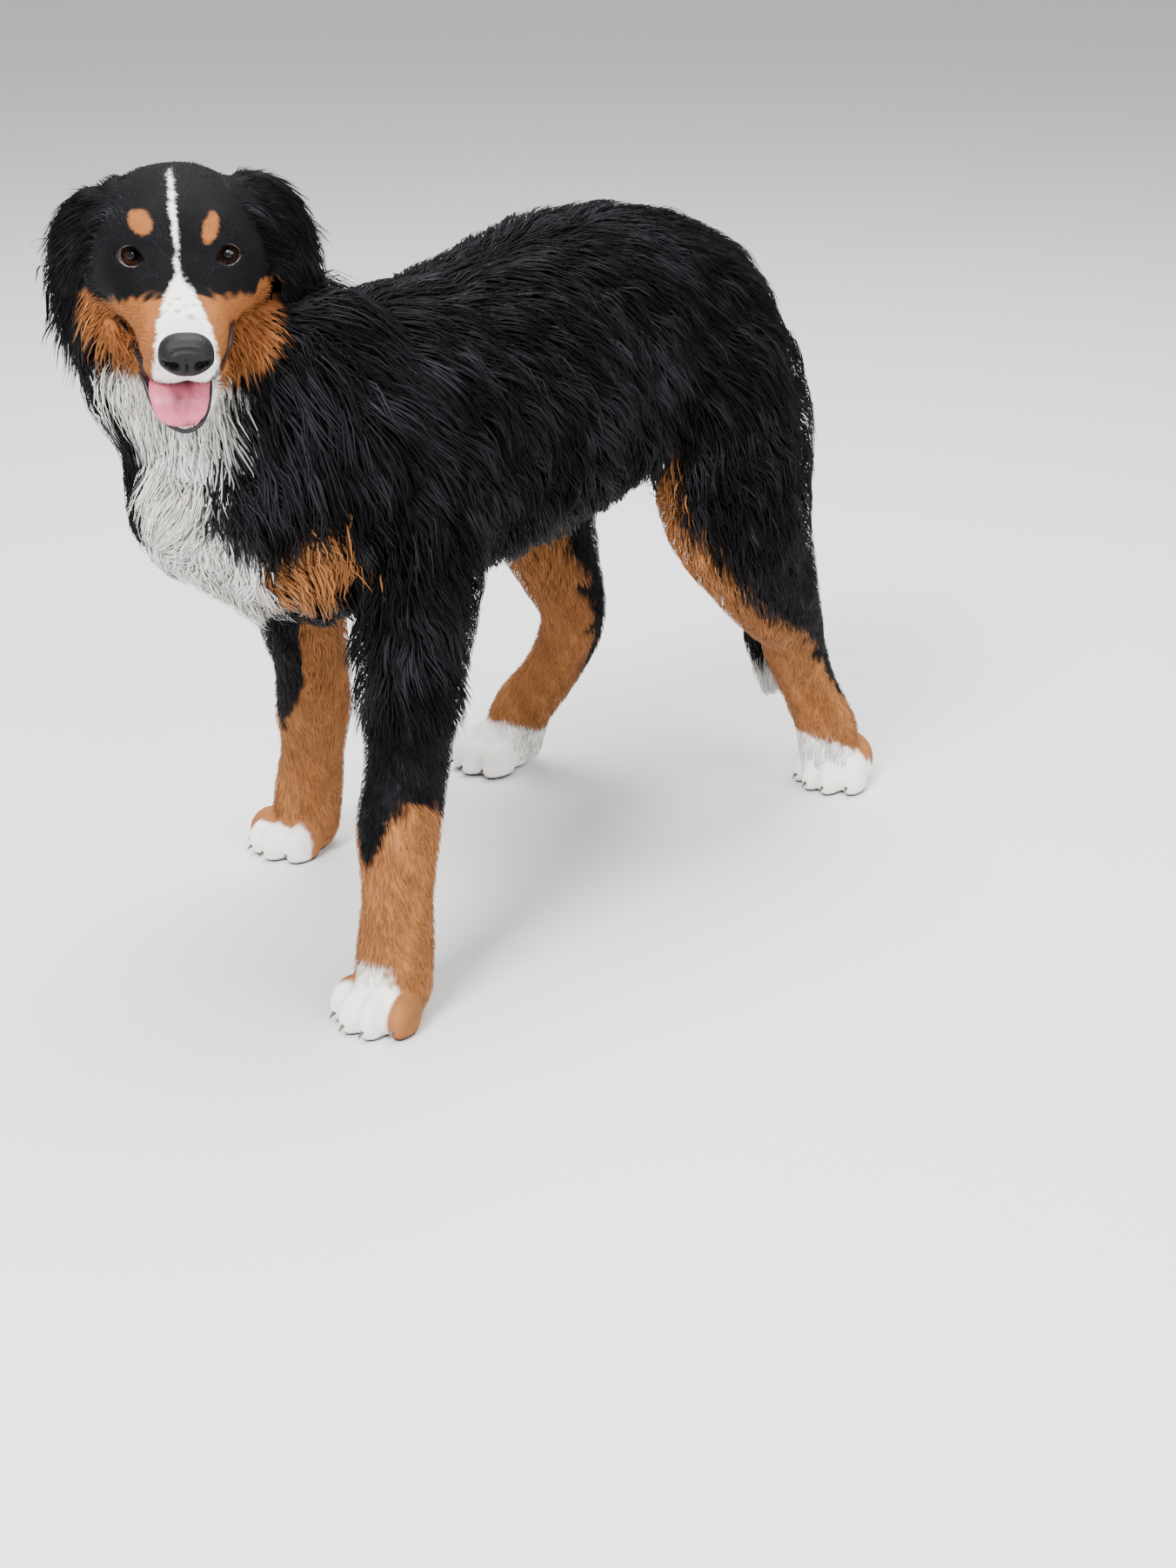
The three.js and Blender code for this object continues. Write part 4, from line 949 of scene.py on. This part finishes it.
def cornerForm(name, rows):  # a dark edge laid on the skin, from across, height and radius
    found = []
    for across, height, radius in rows:
        start = toWorld((across, -200, height), headPlace)[0]
        hit, place, _, _ = skin.ray_cast(Vector(start), Vector(headTurned[:, 1]))
        forward = fromWorld(np.array(place), headPlace)[1]
        found.append((across, forward + 0.15 * radius, height, radius))
    return edgeForm(name, found)


lowerLip = edgeForm("lowerLip", [
    (-32, -99, -73, 0.8), (-28.5, -106, -79, 1.8), (-25, -114, -89, 2), (-20, -120, -99, 1.8),
    (-11, -125, -106, 1.6), (-2, -126.5, -108.5, 1.6), (7, -124, -105, 1.6), (12.5, -119, -97.5, 1.6),
    (15.5, -112, -87, 1.5), (17, -104, -78, 0.8)])
corners = [
    cornerForm("cornerRight", [(-44, -50, 0.7), (-41.5, -55, 1.9), (-38, -61, 2.6), (-34.5, -67, 2.9),
                               (-31, -72.5, 2.8), (-28.5, -77.5, 2.4), (-27.5, -81, 1.6)]),
    cornerForm("cornerLeft", [(34, -43, 0.6), (33.2, -47, 1.5), (31, -53, 1.8), (28, -59, 1.1),
                              (25.5, -63, 0.5)])]
lips = joinedUp([overForm(lowerLip, 120, 14, lift=0)] + [overForm(form, 60, 14, lift=0) for form in corners],
                "lips")
smoothShaded(lips)
print("nose, tongue and lips made")

# claws
claw = {"radius": 3.8, "tip": 0.4, "length": 11.5, "curl": 0.5, "height": 12, "floor": 0.6}
claws = []
for paw in paws.values():
    for toe, ahead in toes:
        piece = added(bpy.ops.mesh.primitive_cone_add, vertices=12, radius1=claw["radius"],
                      radius2=claw["tip"], depth=claw["length"], end_fill_type="NGON")
        edited(piece, bpy.ops.mesh.subdivide, number_cuts=5)
        spots = spotsOf(piece)
        t = spots[:, 2] / claw["length"] + 0.5
        bend = claw["curl"] * t
        spots = np.column_stack([spots[:, 0] * 0.8,
                                 -claw["length"] * t * np.cos(bend) + spots[:, 1] * np.sin(bend),
                                 -claw["length"] * t * np.sin(bend) * 0.9 + spots[:, 1] * np.cos(bend)])
        place = (toe * pawSize["width"] * 0.245, pawSize["length"] * (ahead - 0.155), claw["height"])
        spots = spots @ turning(toe * 6).T + np.array(place)
        spots[:, 2] = np.maximum(spots[:, 2], claw["floor"])
        moveTo(piece, toWorld(spots, paw.place))
        facedOut(piece)
        claws.append(piece)
claws = joinedUp(claws, "claws")
smoothShaded(claws)
print("claws made")


# finishes
class Wire:  # one socket, with the arithmetic that is used
    def __init__(self, finish, socket):
        self.finish, self.socket = finish, socket

    def math(self, operation, other):
        return self.finish.node("ShaderNodeMath", {"operation": operation}, {0: self, 1: other})

    def __add__(self, other):
        return self.math("ADD", other)

    def __mul__(self, other):
        return self.math("MULTIPLY", other)

    __radd__, __rmul__ = __add__, __mul__


class Finish:  # a material whose nodes come from one method
    def __init__(self, name, **constants):
        self.material = bpy.data.materials.new(name)
        self.material.use_nodes = True
        self.tree = self.material.node_tree
        self.shader = self.tree.nodes["Principled BSDF"]
        self.feed(**constants)

    def node(self, kind, settings=None, inputs=None, output=0):
        made = self.tree.nodes.new(kind)
        for key, value in (settings or {}).items():
            if key == "stops":
                while len(made.color_ramp.elements) < len(value):
                    made.color_ramp.elements.new(0.5)
                for element, (at, colour) in zip(made.color_ramp.elements, value):
                    element.position, element.color = at, (*colour, 1)
            else:
                setattr(made, key, value)
        for key, value in (inputs or {}).items():
            self.link(value, made.inputs[key])
        return Wire(self, made.outputs[output])

    def link(self, value, socket):
        if isinstance(value, Wire):
            self.tree.links.new(value.socket, socket)
        else:
            socket.default_value = value

    def feed(self, **sockets):
        for key, value in sockets.items():
            self.link(value, self.shader.inputs[key.replace("_", " ")])

    def place(self):
        return self.node("ShaderNodeTexCoord", output="Object")

    def attribute(self, name="dye", output="Color"):
        return self.node("ShaderNodeAttribute", {"attribute_name": name}, output=output)

    def noise(self, scale, detail=3.0, place=None):
        inputs = {"Vector": place or self.place(), "Scale": scale, "Detail": detail}
        return self.node("ShaderNodeTexNoise", {}, inputs, "Fac")

    def vector(self, operation, inputs, output=0):
        return self.node("ShaderNodeVectorMath", {"operation": operation}, inputs, output)

    def toned(self, factor, *stops):
        return self.node("ShaderNodeValToRGB", {"stops": stops}, {"Fac": factor}, "Color")

    def multiplied(self, share, colour, other):
        settings = {"data_type": "RGBA", "blend_type": "MULTIPLY"}
        return self.node("ShaderNodeMix", settings, {0: share, 6: colour, 7: other}, 2)

    def bump(self, height, strength, distance):
        return self.node("ShaderNodeBump", {}, {"Height": height, "Strength": strength, "Distance": distance})

    def dress(self, *pieces):
        for piece in pieces:
            piece.data.materials.clear()
            piece.data.materials.append(self.material)


fur = Finish("fur", Specular_IOR_Level=0.07)
lie = fur.vector("MULTIPLY", {0: fur.attribute("lie", "Vector"), 1: (1.7, 0.05, 1.0)})
strands = fur.noise(1.0, 2.0, lie)
strandTone = fur.toned(strands, (0.34, (0.42, 0.40, 0.38)), (0.58, (1.0, 1.0, 1.0)))
fur.feed(Base_Color=fur.multiplied(0.6, fur.attribute(), strandTone), Roughness=fur.noise(60) * 0.2 + 0.36,
         Normal=fur.bump(strands, 0.6, 0.0006))
fur.dress(*coatPieces)
hide = Finish("hide", Specular_IOR_Level=0.05)
hide.feed(Base_Color=hide.attribute(), Roughness=hide.noise(90) * 0.2 + 0.5,
          Normal=hide.bump(hide.noise(700, 4.0), 0.5, 0.001))
hide.dress(skin)
leather = Finish("noseLeather", Specular_IOR_Level=0.22, Base_Color=(0.007, 0.006, 0.007, 1))
pebbles = leather.node("ShaderNodeTexVoronoi", {"feature": "SMOOTH_F1"},
                       {"Vector": leather.place(), "Scale": 700.0}, "Distance")
leather.feed(Roughness=leather.noise(300) * 0.2 + 0.42, Normal=leather.bump(pebbles, 0.35, 0.0006))
leather.dress(nose)
lipSkin = Finish("lipSkin", Specular_IOR_Level=0.3, Coat_Weight=0.1, Coat_Roughness=0.2,
                 Base_Color=(0.009, 0.006, 0.007, 1))
lipSkin.feed(Roughness=lipSkin.noise(400) * 0.2 + 0.35, Normal=lipSkin.bump(lipSkin.noise(800), 0.3, 0.0005))
lipSkin.dress(lips)
lidSkin = Finish("lidSkin", Specular_IOR_Level=0.35)
lidTone = lidSkin.toned(lidSkin.noise(260), (0.3, (0.12, 0.095, 0.095)), (0.7, (0.24, 0.195, 0.19)))
lidSkin.feed(Base_Color=lidTone, Roughness=lidSkin.noise(400) * 0.2 + 0.4,
             Normal=lidSkin.bump(lidSkin.noise(1200), 0.4, 0.0004))
lidSkin.dress(lidRims)
wetTongue = Finish("wetTongue", Specular_IOR_Level=0.28, Coat_Weight=0.08, Coat_Roughness=0.3)
mottle = wetTongue.toned(wetTongue.noise(350), (0.3, (0.7, 0.6, 0.6)), (0.7, (1.0, 1.0, 1.0)))
wetTongue.feed(Base_Color=wetTongue.multiplied(0.5, wetTongue.attribute(), mottle),
               Roughness=wetTongue.noise(500) * 0.2 + 0.3,
               Normal=wetTongue.bump(wetTongue.noise(1500), 0.4, 0.0004))
wetTongue.dress(tongue)
horn = Finish("horn", Specular_IOR_Level=0.5)
horn.feed(Base_Color=horn.toned(horn.noise(220), (0.3, (0.03, 0.024, 0.02)), (0.7, (0.09, 0.07, 0.055))),
          Roughness=horn.noise(300) * 0.2 + 0.25)
horn.dress(claws)
for piece, hand, side in zip(eyes, (1, -1), ("Left", "Right")):
    ball = Finish("eyeball" + side, Specular_IOR_Level=0.5)
    centre = toWorld(eyeAt[hand], headPlace)[0]
    gaze = unit(np.array(eye["lookingAt"]) - centre)
    way = ball.vector("NORMALIZE", {0: ball.vector("SUBTRACT", {0: ball.place(), 1: tuple(centre)})})
    facing = ball.vector("DOT_PRODUCT", {0: way, 1: tuple(gaze)}, "Value")
    ball.feed(Roughness=ball.noise(500) * 0.02 + 0.03, Base_Color=ball.toned(  # from the white to the pupil
        facing, (0.0, (0.60, 0.52, 0.49)), (0.66, (0.45, 0.37, 0.35)), (0.70, (0.008, 0.004, 0.003)),
        (0.78, (0.045, 0.019, 0.010)), (0.91, (0.032, 0.013, 0.008)), (0.955, (0.003, 0.002, 0.002))))
    ball.dress(piece)
print("finishes dressed")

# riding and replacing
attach(skin, "root")
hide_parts("head", "lower_jaw", "neck", "torso", "tail", "foreleg_left", "foreleg_right", "thigh_left",
            "thigh_right", "hind_leg_left", "hind_leg_right", "paw_fore_left", "paw_fore_right",
            "paw_hind_left", "paw_hind_right", "ear_left", "ear_right")
for piece in coatPieces:
    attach(piece, "root")
for piece, node, slot in ((eyes[0], "eye_left", "eye"), (eyes[1], "eye_right", "eye"), (nose, "nose", "nose"),
                          (tongue, "tongue", "tongue")):
    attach(piece, "root")
    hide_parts(node)
for piece in (lidRims, lips, claws):
    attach(piece, "root")

# floor and light
floor = added(bpy.ops.mesh.primitive_plane_add, size=60, location=(0, 0, 0))
floor.name = "floor"
plain = Finish("paleFloor", Specular_IOR_Level=0.3, Base_Color=(0.82, 0.82, 0.81, 1))
plain.feed(Roughness=plain.noise(3) * 0.1 + 0.6)
plain.dress(floor)
floor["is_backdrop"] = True
lights = {  # place, size and power
    "key": ((0.9, -2.8, 3.2), 1.3, 285), "fill": ((3.2, 0.2, 2.0), 2.4, 85),
    "top": ((-0.4, 0.5, 3.2), 2.2, 170), "catch": ((1.63, -1.03, 1.51), 0.6, 13)}
litAt = Vector((0, 0, 0.35))
for name, (at, size, power) in lights.items():
    lamp = added(bpy.ops.object.light_add, type="AREA", location=at)
    lamp.name = name + "Light"
    lamp.data.size, lamp.data.energy = size, power
    lamp.rotation_euler = (litAt - Vector(at)).to_track_quat("-Z", "Y").to_euler()
studio = bpy.data.worlds.new("studio")
bpy.context.scene.world = studio
studio.use_nodes = True
backdrop = studio.node_tree.nodes["Background"].inputs
backdrop["Color"].default_value = (0.95, 0.97, 1.0, 1)
backdrop["Strength"].default_value = 0.7
print("stage lit")

low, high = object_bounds()
